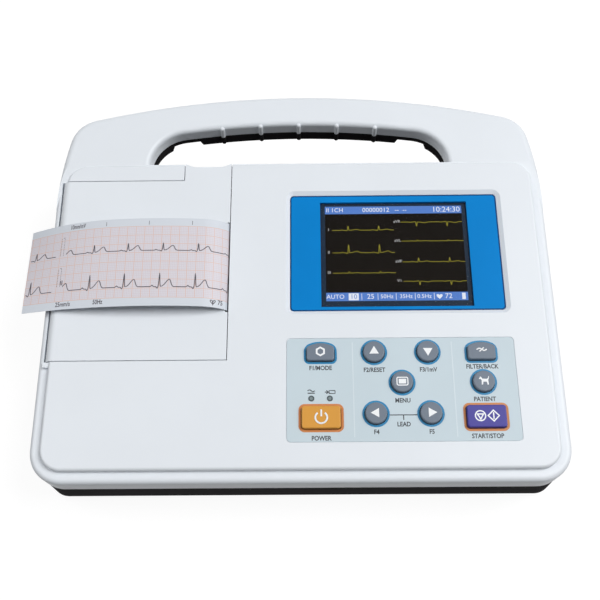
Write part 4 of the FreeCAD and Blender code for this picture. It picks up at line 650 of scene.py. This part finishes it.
def clear_pane():
    """Clear acrylic: mostly see-through, with a sharp gloss."""
    material = moulded("clear_pane", CLEAR, 0.1, 3.0, 0.002)
    shader = material.node_tree.nodes["Principled BSDF"]
    shader.inputs["Alpha"].default_value = CLEAR_ALPHA
    shader.inputs["IOR"].default_value = CLEAR_IOR
    return material


dress(moulded("blue_film", BLUE, 0.38, 0.6, 0.006, drift=0.05, specular=0.05), "display_lens")
dress(moulded("panel_border", NAVY, 0.3, 0.8, 0.003, drift=0.05, specular=0.1), "lcd_panel")
dress(steel, "lcd_frame")
bm = bmesh.new()
# A darker blue band round the edge of the surround: painted shade along its join with the recess wall
surround = (PANEL_X, SURROUND_Y, SURROUND_WIDTH, SURROUND_DEPTH, SURROUND_TOP)
flat_frame(bm, *surround, EDGE_THICK, SURROUND_CORNER, SURROUND_EDGE)
painted_edge_shade = moulded("painted_edge_shade", EDGE_SHADE_BLUE, 0.38, 0.6, 0.006, drift=0.05, specular=0.1)
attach(piece("surround_edge", bm, painted_edge_shade), "case")
bm = bmesh.new()
pane_size = (WINDOW_WIDTH - PANE_FIT, WINDOW_DEPTH - PANE_FIT)
flat_plate(bm, PANEL_X, WINDOW_Y, *pane_size, PANE_TOP - PANE_THICK, PANE_THICK, PANE_CORNER)
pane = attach(piece("window_pane", bm, clear_pane()), "case")
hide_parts("display_window")


# Picture on the display: a lit field with a bar above and below, seven leads and plain readings.
# It is drawn in thin layers on the front of the panel, each lit by itself.
PICTURE_Y = WINDOW_Y + 0.9
PICTURE_WIDTH = 70.1
PICTURE_DEPTH = 52.6
HEAD_BAR = 4.3
FOOT_BAR = 4.5
FIELD_DARK = (0.005, 0.0032, 0.0018)
BAR_BLUE = (0.095, 0.215, 0.595)
TRACE_YELLOW = (0.34, 0.31, 0.03)
SCREEN_WHITE = (0.78, 0.82, 0.9)
SCREEN_GREY = (0.5, 0.5, 0.5)
UNLIT = (0.003, 0.003, 0.003, 1)
SCREEN_ROUGHNESS = 0.5
SCREEN_SPECULAR = 0.03
DOT_SIZE = 0.4
DOT_SHADES = (0.9, 1.1)
FIRST_LAYER = 0.03
LAYER_THICK = 0.02
LEFT_EDGE = PANEL_X - PICTURE_WIDTH / 2
TOP_EDGE = PICTURE_Y + PICTURE_DEPTH / 2
HEAD_Y = TOP_EDGE - HEAD_BAR / 2
FOOT_Y = TOP_EDGE - PICTURE_DEPTH + FOOT_BAR / 2


def lit(name, colour):
    """Part of a lit picture: the light has the fine dots of the display."""
    material = bpy.data.materials.new(name)
    material.use_nodes = True
    nodes = material.node_tree.nodes
    links = material.node_tree.links
    shader = nodes["Principled BSDF"]
    shader.inputs["Base Color"].default_value = UNLIT
    shader.inputs["Roughness"].default_value = SCREEN_ROUGHNESS
    shader.inputs["Specular IOR Level"].default_value = SCREEN_SPECULAR
    shader.inputs["Emission Strength"].default_value = 1.0
    place = nodes.new("ShaderNodeTexCoord")
    dots = nodes.new("ShaderNodeTexNoise")
    dots.inputs["Scale"].default_value = 1 / (DOT_SIZE * MM)
    shade = two_shades(nodes, colour, *DOT_SHADES)
    links.new(place.outputs["Object"], dots.inputs["Vector"])
    links.new(dots.outputs["Fac"], shade.inputs["Fac"])
    links.new(shade.outputs["Color"], shader.inputs["Emission Color"])
    return material


def screen_piece(name, bm, material):
    """A piece of the picture, fixed to the case."""
    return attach(piece(name, bm, material), "case")


def layer(level):
    """Where a layer of the picture starts, over the front of the panel."""
    return PANEL_TOP + FIRST_LAYER + 2 * level * LAYER_THICK


bm = bmesh.new()
flat_plate(bm, PANEL_X, PICTURE_Y, PICTURE_WIDTH, PICTURE_DEPTH, layer(0), LAYER_THICK)
screen_piece("picture_field", bm, lit("picture_field", FIELD_DARK))

bm = bmesh.new()
for y, tall in ((HEAD_Y, HEAD_BAR), (FOOT_Y, FOOT_BAR)):
    flat_plate(bm, PANEL_X, y, PICTURE_WIDTH, tall, layer(1), LAYER_THICK)
screen_piece("picture_bars", bm, lit("picture_bars", BAR_BLUE))

LEAD_LENGTH = 31.5
SCREEN_BEAT = 15.6
SCREEN_START = 0.12
SCREEN_HUMP = 0.2
SCREEN_TRACE = 0.27
SCREEN_FLAT = 0.1
LEAD_NAME_SIZE = 2.2
LEAD_NAME_X = -1.9
LEAD_NAME_Y = 0.3
# Each lead: its name, its place from the left and top of the picture, and the height of its tallest wave
SCREEN_LEADS = (
    ("I", 3.6, 13.6, 2.4),
    ("II", 3.6, 26.3, 4.6),
    ("III", 3.6, 37.5, 1.1),
    ("aVR", 38.6, 9.2, -2.5),
    ("aVL", 38.6, 20.0, 0.8),
    ("aVF", 38.6, 31.6, 2.2),
    ("V1", 38.6, 42.2, -2.1),
)
paths = []
lead_names = bmesh.new()
for name, from_left, from_top, tall in SCREEN_LEADS:
    x0 = LEFT_EDGE + from_left
    y0 = TOP_EDGE - from_top
    path = []
    for step in range(int(LEAD_LENGTH / TRACE_STEP)):
        along = step * TRACE_STEP
        time = (along / SCREEN_BEAT - SCREEN_START) % 1.0
        path.append((x0 + along, y0 + tall * beat(time, SCREEN_HUMP)))
    paths.append(path)
    stamp(lead_names, word_mesh(name, LEAD_NAME_SIZE), x0 + LEAD_NAME_X, y0 + LEAD_NAME_Y, layer(2))
bm = bmesh.new()
stamp(bm, stroke_mesh(paths, SCREEN_TRACE), 0, 0, layer(2), SCREEN_FLAT)
screen_piece("picture_traces", bm, lit("picture_traces", TRACE_YELLOW))
screen_piece("picture_lead_names", lead_names, lit("picture_lead_names", SCREEN_GREY))

# Each reading: its place from the left of the picture, the middle of its bar, its words and their size
READINGS = (
    (5.0, HEAD_Y, "II 1CH", 3.3),
    (26.2, HEAD_Y, "00000012", 3.5),
    (39.0, HEAD_Y, "--  --", 3.3),
    (62.2, HEAD_Y, "10:24:30", 4.2),
    (4.6, FOOT_Y, "AUTO", 3.2),
    (22.0, FOOT_Y, "25", 3.7),
    (30.0, FOOT_Y, "50Hz", 3.0),
    (39.5, FOOT_Y, "35Hz", 3.0),
    (48.5, FOOT_Y, "0.5Hz", 3.0),
    (60.5, FOOT_Y, "72", 3.7),
)
BOX_LEFT = 13.6
BOX_WORD_SIZE = 3.5
DIVIDER_SIZE = (0.25, 3.4)
DIVIDERS_LEFT = (17.6, 25.6, 34.6, 44.0, 53.4)
PULSE_LEFT = 56.0
# Each block in the foot bar: its place from the left and its size; first the box, then the battery's charge
BLOCKS = [(BOX_LEFT, (5.0, 3.7)), (68.0, (1.7, 3.4))]
BLOCKS += [(from_left, DIVIDER_SIZE) for from_left in DIVIDERS_LEFT]
bm = bmesh.new()
for from_left, y, words, size in READINGS:
    stamp(bm, word_mesh(words, size), LEFT_EDGE + from_left, y, layer(2))
for from_left, size in BLOCKS:
    flat_plate(bm, LEFT_EDGE + from_left, FOOT_Y, *size, layer(2), LAYER_THICK)
before = set(bm.faces)
heart_plan(bm, LEFT_EDGE + PULSE_LEFT, FOOT_Y, layer(2), HEART_SIZE)
raise_faces(bm, before, LAYER_THICK)
screen_piece("picture_readings", bm, lit("picture_readings", SCREEN_WHITE))
bm = bmesh.new()
stamp(bm, word_mesh("10", BOX_WORD_SIZE), LEFT_EDGE + BOX_LEFT, FOOT_Y, layer(3))
screen_piece("picture_speed", bm, lit("picture_speed", BAR_BLUE))


# Key panel: a pale printed film, stuck into a shallow recess round the keys, with two light seams.
# Printed in blue, orange and dark grey on its face; the light pipes and the keys come up through it.
FILM = (0.575, 0.675, 0.73)
RING_BLUE = (0.009, 0.215, 0.44)
RING_ORANGE = (0.56, 0.2, 0.05)
PRINT_GREY = (0.03, 0.036, 0.045)
SEAM_LIGHT = (0.66, 0.75, 0.8)
KEY_Y = 46.4
KEY_ROW = 15.1
KEY_COLUMN = 12.8
OUTER_COLUMN = 38.4
ARCH_ROW = 15.1
WIDE_ROW = -16.9
ROUND_KEY = 5.1
ARCH_WIDTH = 13.2
ARCH_DEPTH = 8.7
ARCH_RISE = 2.0
ARCH_STEPS = 12
ARCH_SHOULDER = 1.5
WIDE_WIDTH = 18.2
WIDE_DEPTH = 10.6
ROUND_SIDES = 64
CORNER_SEGMENTS = 8
KEY_CORNER = 1.4
KEY_GAP = 0.3
RING = 1.0
WIDE_RING = 1.15
PRINT = 0.04


def disc_plan(bm, x, y, z, radius, sides, turn=math.pi / 2):
    """A flat disc, or with few sides a regular shape, one corner at angle turn."""
    place = Matrix.Translation((x, y, z)) @ Matrix.Rotation(turn - math.pi / 2, 4, "Z")
    bmesh.ops.create_circle(bm, cap_ends=True, segments=sides, radius=radius, matrix=place)


def round_plan(bm, x, y, grow):
    """The outline of a round key, made larger all round by grow."""
    disc_plan(bm, x, y, 0, ROUND_KEY + grow, ROUND_SIDES)


def wide_plan(bm, x, y, grow):
    """The outline of a wide key."""
    size = (WIDE_WIDTH + 2 * grow, WIDE_DEPTH + 2 * grow)
    plate_plan(bm, x, y, 0, *size, KEY_CORNER + grow, CORNER_SEGMENTS)


def arch_plan(bm, x, y, grow):
    """The outline of a key that is square at the front and bowed at the back."""
    corner = KEY_CORNER + grow
    half = ARCH_WIDTH / 2 + grow
    front = y - ARCH_DEPTH / 2 - grow
    shoulder = y + ARCH_DEPTH / 2 + grow - ARCH_RISE
    bow = [(half - ARCH_SHOULDER * corner) * (1 - 2 * step / ARCH_STEPS) for step in range(ARCH_STEPS + 1)]
    places = [(-half, front), (half, front), (half, shoulder)]
    places += [(across, shoulder + ARCH_RISE * (1 - (across / half) ** 2)) for across in bow]
    places.append((-half, shoulder))
    verts = [bm.verts.new((x + across, along, 0)) for across, along in places]
    bm.faces.new(verts)
    rounded(bm, verts[:3] + verts[-1:], corner, CORNER_SEGMENTS)


# Each key: its outline, and its place across and along from the middle key
KEYS = {
    "f1_key": (arch_plan, -OUTER_COLUMN, ARCH_ROW),
    "up_key": (round_plan, -KEY_COLUMN, KEY_ROW),
    "down_key": (round_plan, KEY_COLUMN, KEY_ROW),
    "filter_key": (arch_plan, OUTER_COLUMN, ARCH_ROW),
    "menu_key": (round_plan, 0.0, 0.0),
    "patient_key": (round_plan, OUTER_COLUMN, 0.0),
    "left_key": (round_plan, -KEY_COLUMN, -KEY_ROW),
    "right_key": (round_plan, KEY_COLUMN, -KEY_ROW),
    "power_key": (wide_plan, -OUTER_COLUMN, WIDE_ROW),
    "start_key": (wide_plan, OUTER_COLUMN, WIDE_ROW),
}


def ring(bm, plan, x, y, inner, width):
    """A printed band round a key."""
    before = set(bm.faces)
    plan(bm, x, y, inner + width)
    band(bm, before, width, PRINT)


def film_piece(name, bm, material):
    """A print on the film, fixed to the case."""
    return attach(piece(name, bm, material), "case")


dress(moulded("panel_film", FILM, 0.45, 0.5, 0.006, drift=0.02, specular=0.3), "keypad_overlay")
blue_rings = bmesh.new()
orange_rings = bmesh.new()
for name, (plan, across, along) in KEYS.items():
    printed, width = (orange_rings, WIDE_RING) if plan is wide_plan else (blue_rings, RING)
    ring(printed, plan, PANEL_X + across, KEY_Y + along, KEY_GAP, width)
film_piece("key_rings_blue", blue_rings, moulded("ring_blue", RING_BLUE, 0.4, 0.5, 0.004))
film_piece("key_rings_orange", orange_rings, moulded("ring_orange", RING_ORANGE, 0.4, 0.5, 0.004))

SEAMS_X = (25.4, 72.9)
SEAM_Y = 43.5
SEAM_WIDTH = 0.5
SEAM_LENGTH = 46.5
bm = bmesh.new()
for x in SEAMS_X:
    flat_plate(bm, x, SEAM_Y, SEAM_WIDTH, SEAM_LENGTH, 0, PRINT)
film_piece("panel_seams", bm, moulded("panel_seams", SEAM_LIGHT, 0.4, 0.5, 0.004))

LIGHT_Y = 38.9
LIGHTS_X = (5.5, 14.2)
LABEL_SIZE = 3.0
LABEL_NARROW = 0.88
LABEL_BOLD = 0.08
LINE_WIDTH = 0.46
LINE_FLAT = 0.1
LINE_DROP = 0.6
LINE_GAP = 6.3
LINE_STEM = 2.4
# Each label: its place across and along from the middle key, and its words
LABELS = (
    (-OUTER_COLUMN, 7.4, "F1/MODE"),
    (-KEY_COLUMN, 6.3, "F2/RESET"),
    (KEY_COLUMN, 6.3, "F3/1mV"),
    (OUTER_COLUMN, 7.6, "FILTER/BACK"),
    (0.0, -8.8, "MENU"),
    (OUTER_COLUMN, -8.4, "PATIENT"),
    (-KEY_COLUMN, -23.8, "F4"),
    (KEY_COLUMN, -23.8, "F5"),
    (0.0, -20.2, "LEAD"),
    (-OUTER_COLUMN, -26.6, "POWER"),
    (OUTER_COLUMN, -26.0, "START/STOP"),
)
# The lines of the signs over the light pipes, from the middle of each: a wave over a bar, and a charging cell
LIGHT_SIGN_Y = LIGHT_Y + 3.1
MAINS_SIGN = (
    [(-1.7 + step * 0.17, 0.7 + 0.4 * math.sin(step * 0.314)) for step in range(21)],
    [(-1.7, -0.5), (1.7, -0.5)],
)
CELL_SIGN_X = LIGHTS_X[1] + 0.9
CELL_SIGN = (
    [(-1.2, -0.7), (1.6, -0.7), (1.6, 0.7)],
    [(1.6, 0.7), (-1.2, 0.7), (-1.2, -0.7)],
    [(-3.2, 0.0), (-1.2, 0.0)],
    [(-2.5, 0.8), (-1.5, 0.0), (-2.5, -0.8)],
)
bm = bmesh.new()
for across, along, words in LABELS:
    label = word_mesh(words, LABEL_SIZE, LABEL_NARROW, LABEL_BOLD)
    stamp(bm, label, PANEL_X + across, KEY_Y + along, PRINT / 2)
row_y = KEY_Y - KEY_ROW - LINE_DROP
lines = [
    [(PANEL_X - KEY_COLUMN + LINE_GAP, row_y), (PANEL_X + KEY_COLUMN - LINE_GAP, row_y)],
    [(PANEL_X, row_y), (PANEL_X, row_y - LINE_STEM)],
]
for sign_x, sign in ((LIGHTS_X[0], MAINS_SIGN), (CELL_SIGN_X, CELL_SIGN)):
    lines += [[(sign_x + x, LIGHT_SIGN_Y + y) for x, y in line] for line in sign]
stamp(bm, stroke_mesh(lines, LINE_WIDTH), 0, 0, PRINT / 2, LINE_FLAT)
film_piece("panel_print", bm, moulded("panel_print", PRINT_GREY, 0.45, 0.5, 0.004))


# Light pipes: two clear rods beside the power key, unlit, with a dark rim printed on the end of each.
# They run down through the film and deck to the lamps on the keypad board.
PIPE = (0.2, 0.25, 0.265)
PIPE_RIM = (0.04, 0.06, 0.066)
PIPE_RADIUS = 1.4
PIPE_SIDES = 32
PIPE_TOP = 0.1
RIM = 0.6

dress(moulded("light_pipe", PIPE, 0.2, 0.6, 0.004), "indicator_lights")
bm = bmesh.new()
for x in LIGHTS_X:
    before = set(bm.faces)
    disc_plan(bm, x, LIGHT_Y, PIPE_TOP, PIPE_RADIUS, PIPE_SIDES)
    band(bm, before, RIM, PRINT)
film_piece("light_rings", bm, moulded("light_rings", PIPE_RIM, 0.45, 0.5, 0.004))


# Keys: eight grey caps, an orange one for power and a purple one for start and stop.
# Moulded caps with rounded tops on a rubber mat; their white signs are printed on and go down with them.
KEY_GREY = (0.165, 0.2, 0.25)
KEY_ORANGE = (0.68, 0.32, 0.05)
KEY_PURPLE = (0.062, 0.053, 0.305)
SIGN_WHITE = (0.88, 0.9, 0.92)
KEY_TOP = 2.2
SIGN = 0.05
SIGN_LINE = 0.6
ARROW_RADIUS = 2.6
MODE_RADIUS = 2.5
MODE_LINE = 0.85
FILTER_MIDDLE = 0.4
FILTER_SWING = 0.55
FILTER_BEND = 1.4
FILTER_LINE = 0.7
FILTER_STROKE = [(-1.1, -0.6), (1.1, 1.4)]
FILTER_STROKE_LINE = 0.65
FILTER_FLAT = 0.06
MENU_OUTER = (5.6, 4.3)
MENU_INNER = (3.5, 2.3)
MENU_CORNER = 0.9
MENU_INNER_CORNER = 0.2
MENU_LINE = 0.5
POWER_RADIUS = 2.75
POWER_Y = -0.3
# From one side of the gap round to the other, in twentieths of a radian from the top
POWER_STEPS = range(13, 114, 2)
POWER_STROKE = [(0, 3.5), (0, 0.2)]
POWER_LINE = 0.9
POWER_FLAT = 0.05
STOP_X = -3.1
STOP_RADIUS = 2.65
STOP_INNER = 2.2
START_X = 3.0
START_RADIUS = 3.0
START_BAR = 3.2
# Outline of a standing dog, from its nose round its back
DOG_SIZE = 0.95
DOG = (
    (-2.6, 1.2), (-2.0, 1.7), (-1.9, 2.2), (-1.4, 1.8), (-0.9, 1.0), (1.4, 0.9), (2.0, 1.5), (2.2, 2.3),
    (2.5, 2.2), (2.3, 1.2), (2.0, 0.4), (2.1, -2.1), (1.5, -2.1), (1.2, -0.6), (-0.5, -0.6), (-0.8, -2.1),
    (-1.4, -2.1), (-1.3, 0.2), (-1.7, 0.9), (-2.4, 0.8),
)

grey_key = moulded("grey_key", KEY_GREY, 0.4, 0.4, 0.008, specular=0.3)
for name in KEYS:
    dress(grey_key, name)
dress(moulded("orange_key", KEY_ORANGE, 0.4, 0.4, 0.008, specular=0.3), "power_key")
dress(moulded("purple_key", KEY_PURPLE, 0.4, 0.4, 0.008, specular=0.3), "start_key")
sign_white = moulded("sign_white", SIGN_WHITE, 0.45, 0.4, 0.004)


def frame_sign(bm, sides, radius, width, turn, x=0.0):
    """The outline of a regular flat sign, one corner at angle turn."""
    before = set(bm.faces)
    disc_plan(bm, x, 0, 0, radius, sides, turn)
    band(bm, before, width, SIGN)


def triangle(turn):
    """Draws a triangle that points at angle turn."""

    def draw(bm):
        before = set(bm.faces)
        disc_plan(bm, 0, 0, 0, ARROW_RADIUS, 3, turn)
        raise_faces(bm, before, SIGN)

    return draw


def mode_sign(bm):
    """A six-sided ring."""
    frame_sign(bm, 6, MODE_RADIUS, MODE_LINE, math.pi / 2)


def filter_sign(bm):
    """A wave with a stroke through it."""
    places = [step / 10 for step in range(-24, 25, 2)]
    wave = [(x, FILTER_MIDDLE - FILTER_SWING * math.sin(x * FILTER_BEND)) for x in places]
    for line, width in ((wave, FILTER_LINE), (FILTER_STROKE, FILTER_STROKE_LINE)):
        stamp(bm, stroke_mesh([line], width), 0, 0, SIGN / 2, FILTER_FLAT)


def menu_sign(bm):
    """A small display in a rounded frame."""
    flat_frame(bm, 0, 0, *MENU_OUTER, 0, SIGN, MENU_CORNER, MENU_LINE, segments=5)
    flat_plate(bm, 0, 0, *MENU_INNER, 0, SIGN, MENU_INNER_CORNER)


def dog_sign(bm):
    """A standing dog."""
    before = set(bm.faces)
    bm.faces.new([bm.verts.new((DOG_SIZE * x, DOG_SIZE * y, 0)) for x, y in DOG])
    raise_faces(bm, before, SIGN)


def power_sign(bm):
    """An open ring with a stroke in its gap."""
    arc = []
    for step in POWER_STEPS:
        turn = step / 20
        arc.append((POWER_RADIUS * math.sin(turn), POWER_RADIUS * math.cos(turn) + POWER_Y))
    for line in (arc, POWER_STROKE):
        stamp(bm, stroke_mesh([line], POWER_LINE), 0, 0, SIGN / 2, POWER_FLAT)


def start_sign(bm):
    """A triangle in a ring for stop, and a stroke in a square on its corner for start."""
    frame_sign(bm, 48, STOP_RADIUS, SIGN_LINE, 0, STOP_X)
    frame_sign(bm, 3, STOP_INNER, SIGN_LINE, -math.pi / 2, STOP_X)
    frame_sign(bm, 4, START_RADIUS, SIGN_LINE, 0, START_X)
    flat_plate(bm, START_X, 0, SIGN_LINE, START_BAR, 0, SIGN)


SIGNS = {
    "f1_key": mode_sign,
    "up_key": triangle(math.pi / 2),
    "down_key": triangle(-math.pi / 2),
    "filter_key": filter_sign,
    "menu_key": menu_sign,
    "patient_key": dog_sign,
    "left_key": triangle(math.pi),
    "right_key": triangle(0),
    "power_key": power_sign,
    "start_key": start_sign,
}
for name, draw in SIGNS.items():
    plan, across, along = KEYS[name]
    bm = bmesh.new()
    draw(bm)
    bmesh.ops.translate(bm, vec=(PANEL_X + across, KEY_Y + along, KEY_TOP), verts=bm.verts)
    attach(piece(name + "_sign", bm, sign_white), name)


# Behind the keys and display: a silicone mat on the keypad board, and flat cables to the main board.
# The boards are lacquered glass fibre with dark moulded parts, and the battery is in shrink wrap.
SILICONE = (0.32, 0.34, 0.36)
BOARD_GREEN = (0.012, 0.12, 0.045)
PART_BLACK = (0.02, 0.02, 0.021)
AMBER = (0.45, 0.2, 0.04)
WRAP = (0.02, 0.06, 0.22)

dress(moulded("silicone", SILICONE, 0.6, 0.5, 0.01), "keypad_mat")
board_lacquer = moulded("board_lacquer", BOARD_GREEN, 0.25, 2.0, 0.03, drift=0.15)
dress(board_lacquer, "keypad_board", "main_board", "supply_board")
part_moulding = moulded("part_moulding", PART_BLACK, 0.45, 0.3, 0.01, drift=0.1)
dress(part_moulding, "board_parts", "buzzer", "supply_parts")
dress(moulded("flat_cable", AMBER, 0.3, 1.0, 0.01), "lcd_ribbon", "keypad_ribbon")
dress(moulded("battery_wrap", WRAP, 0.3, 6.0, 0.05, drift=0.1), "battery_pack")


# Sockets: on the right side, in a recess: patient cable, earth stud and mains inlet.
# The patient socket and its posts are nickel plated, the stud is brass, the inlet black plastic.
NICKEL = (0.62, 0.6, 0.56)

nickel = moulded("nickel", NICKEL, 0.28, 0.4, 0.004, drift=0.04, metallic=1.0)
dress(nickel, "patient_socket", "socket_posts", "mains_pins")
dress(brass, "earth_post")
dress(moulded("inlet_plastic", PART_BLACK, 0.35, 0.4, 0.008, drift=0.1), "mains_inlet")


# Screws and feet: steel screws from below, and four rubber feet pressed into the floor of the case.
# The feet are what the machine stands on.
dress(steel, "case_screws", "small_screws")
dress(rubber, "rubber_feet")


# Studio: a pale floor, a large soft lamp high on each side, the right one stronger, a sky and the camera.
# Floor and sky look white, give little light of their own, and the floor takes the shadow.
FLOOR_SIZE = 6.0
FLOOR_SHADE = (0.16, 0.16, 0.16, 1)
FLOOR_ROUGHNESS = 0.9
FLOOR_GLOW = 0.91
BACKDROP_WHITE = (1.0, 1.0, 1.0, 1)
SKY_STRENGTH = 0.17
SKY_GLOW = 1.0
LAMP_SIDE = 1.3
LAMP_BACK = 0.1
LAMP_HEIGHT = 1.9
LAMP_AIM = (0.0, 0.0, 0.04)
LAMP_SIZE = 1.4
LEFT_POWER = 14.5
RIGHT_POWER = 40.5
CAMERA_PLACE = (0.01068, -0.22546, 0.44189)
CAMERA_TURN = (28.320, 0.7194, -0.1578)
LENS = 53.82


def glow_when_seen(tree, strength, unseen, seen):
    """Gives a backdrop one strength where it is seen, mirrored or through the pane, and one as a light."""
    ray = tree.nodes.new("ShaderNodeLightPath")
    looked_at = ray.outputs["Is Camera Ray"]
    for kind in ("Is Glossy Ray", "Is Transmission Ray"):
        either = tree.nodes.new("ShaderNodeMath")
        either.operation = "MAXIMUM"
        tree.links.new(looked_at, either.inputs[0])
        tree.links.new(ray.outputs[kind], either.inputs[1])
        looked_at = either.outputs["Value"]
    glow = tree.nodes.new("ShaderNodeMapRange")
    glow.inputs["To Min"].default_value = unseen
    glow.inputs["To Max"].default_value = seen
    tree.links.new(looked_at, glow.inputs["Value"])
    tree.links.new(glow.outputs["Result"], strength)


bm = bmesh.new()
bmesh.ops.create_grid(bm, x_segments=1, y_segments=1, size=FLOOR_SIZE / 2)
floor_paint = bpy.data.materials.new("floor_paint")
floor_paint.use_nodes = True
shader = floor_paint.node_tree.nodes["Principled BSDF"]
shader.inputs["Base Color"].default_value = FLOOR_SHADE
shader.inputs["Roughness"].default_value = FLOOR_ROUGHNESS
shader.inputs["Specular IOR Level"].default_value = 0.0
shader.inputs["Emission Color"].default_value = BACKDROP_WHITE
glow_when_seen(floor_paint.node_tree, shader.inputs["Emission Strength"], 0.0, FLOOR_GLOW)
floor_mesh = bpy.data.meshes.new("floor")
bm.to_mesh(floor_mesh)
bm.free()
floor_mesh.materials.append(floor_paint)
floor = bpy.data.objects.new("floor", floor_mesh)
bpy.context.scene.collection.objects.link(floor)

world = bpy.data.worlds.new("studio")
world.use_nodes = True
sky = world.node_tree.nodes["Background"]
sky.inputs["Color"].default_value = BACKDROP_WHITE
glow_when_seen(world.node_tree, sky.inputs["Strength"], SKY_STRENGTH, SKY_GLOW)
bpy.context.scene.world = world

for name, side, power in (("left_lamp", -1, LEFT_POWER), ("right_lamp", 1, RIGHT_POWER)):
    lamp_data = bpy.data.lights.new(name, "AREA")
    lamp_data.energy = power
    lamp_data.size = LAMP_SIZE
    lamp = bpy.data.objects.new(name, lamp_data)
    lamp.location = (side * LAMP_SIDE, LAMP_BACK, LAMP_HEIGHT)
    lamp.rotation_euler = (lamp.location - Vector(LAMP_AIM)).to_track_quat("Z", "Y").to_euler()
    bpy.context.scene.collection.objects.link(lamp)

camera_data = bpy.data.cameras.new("camera")
camera_data.lens = LENS
camera = bpy.data.objects.new("camera", camera_data)
camera.location = CAMERA_PLACE
camera.rotation_euler = [math.radians(angle) for angle in CAMERA_TURN]
bpy.context.scene.collection.objects.link(camera)
bpy.context.scene.camera = camera
bpy.context.scene.view_settings.view_transform = "Standard"
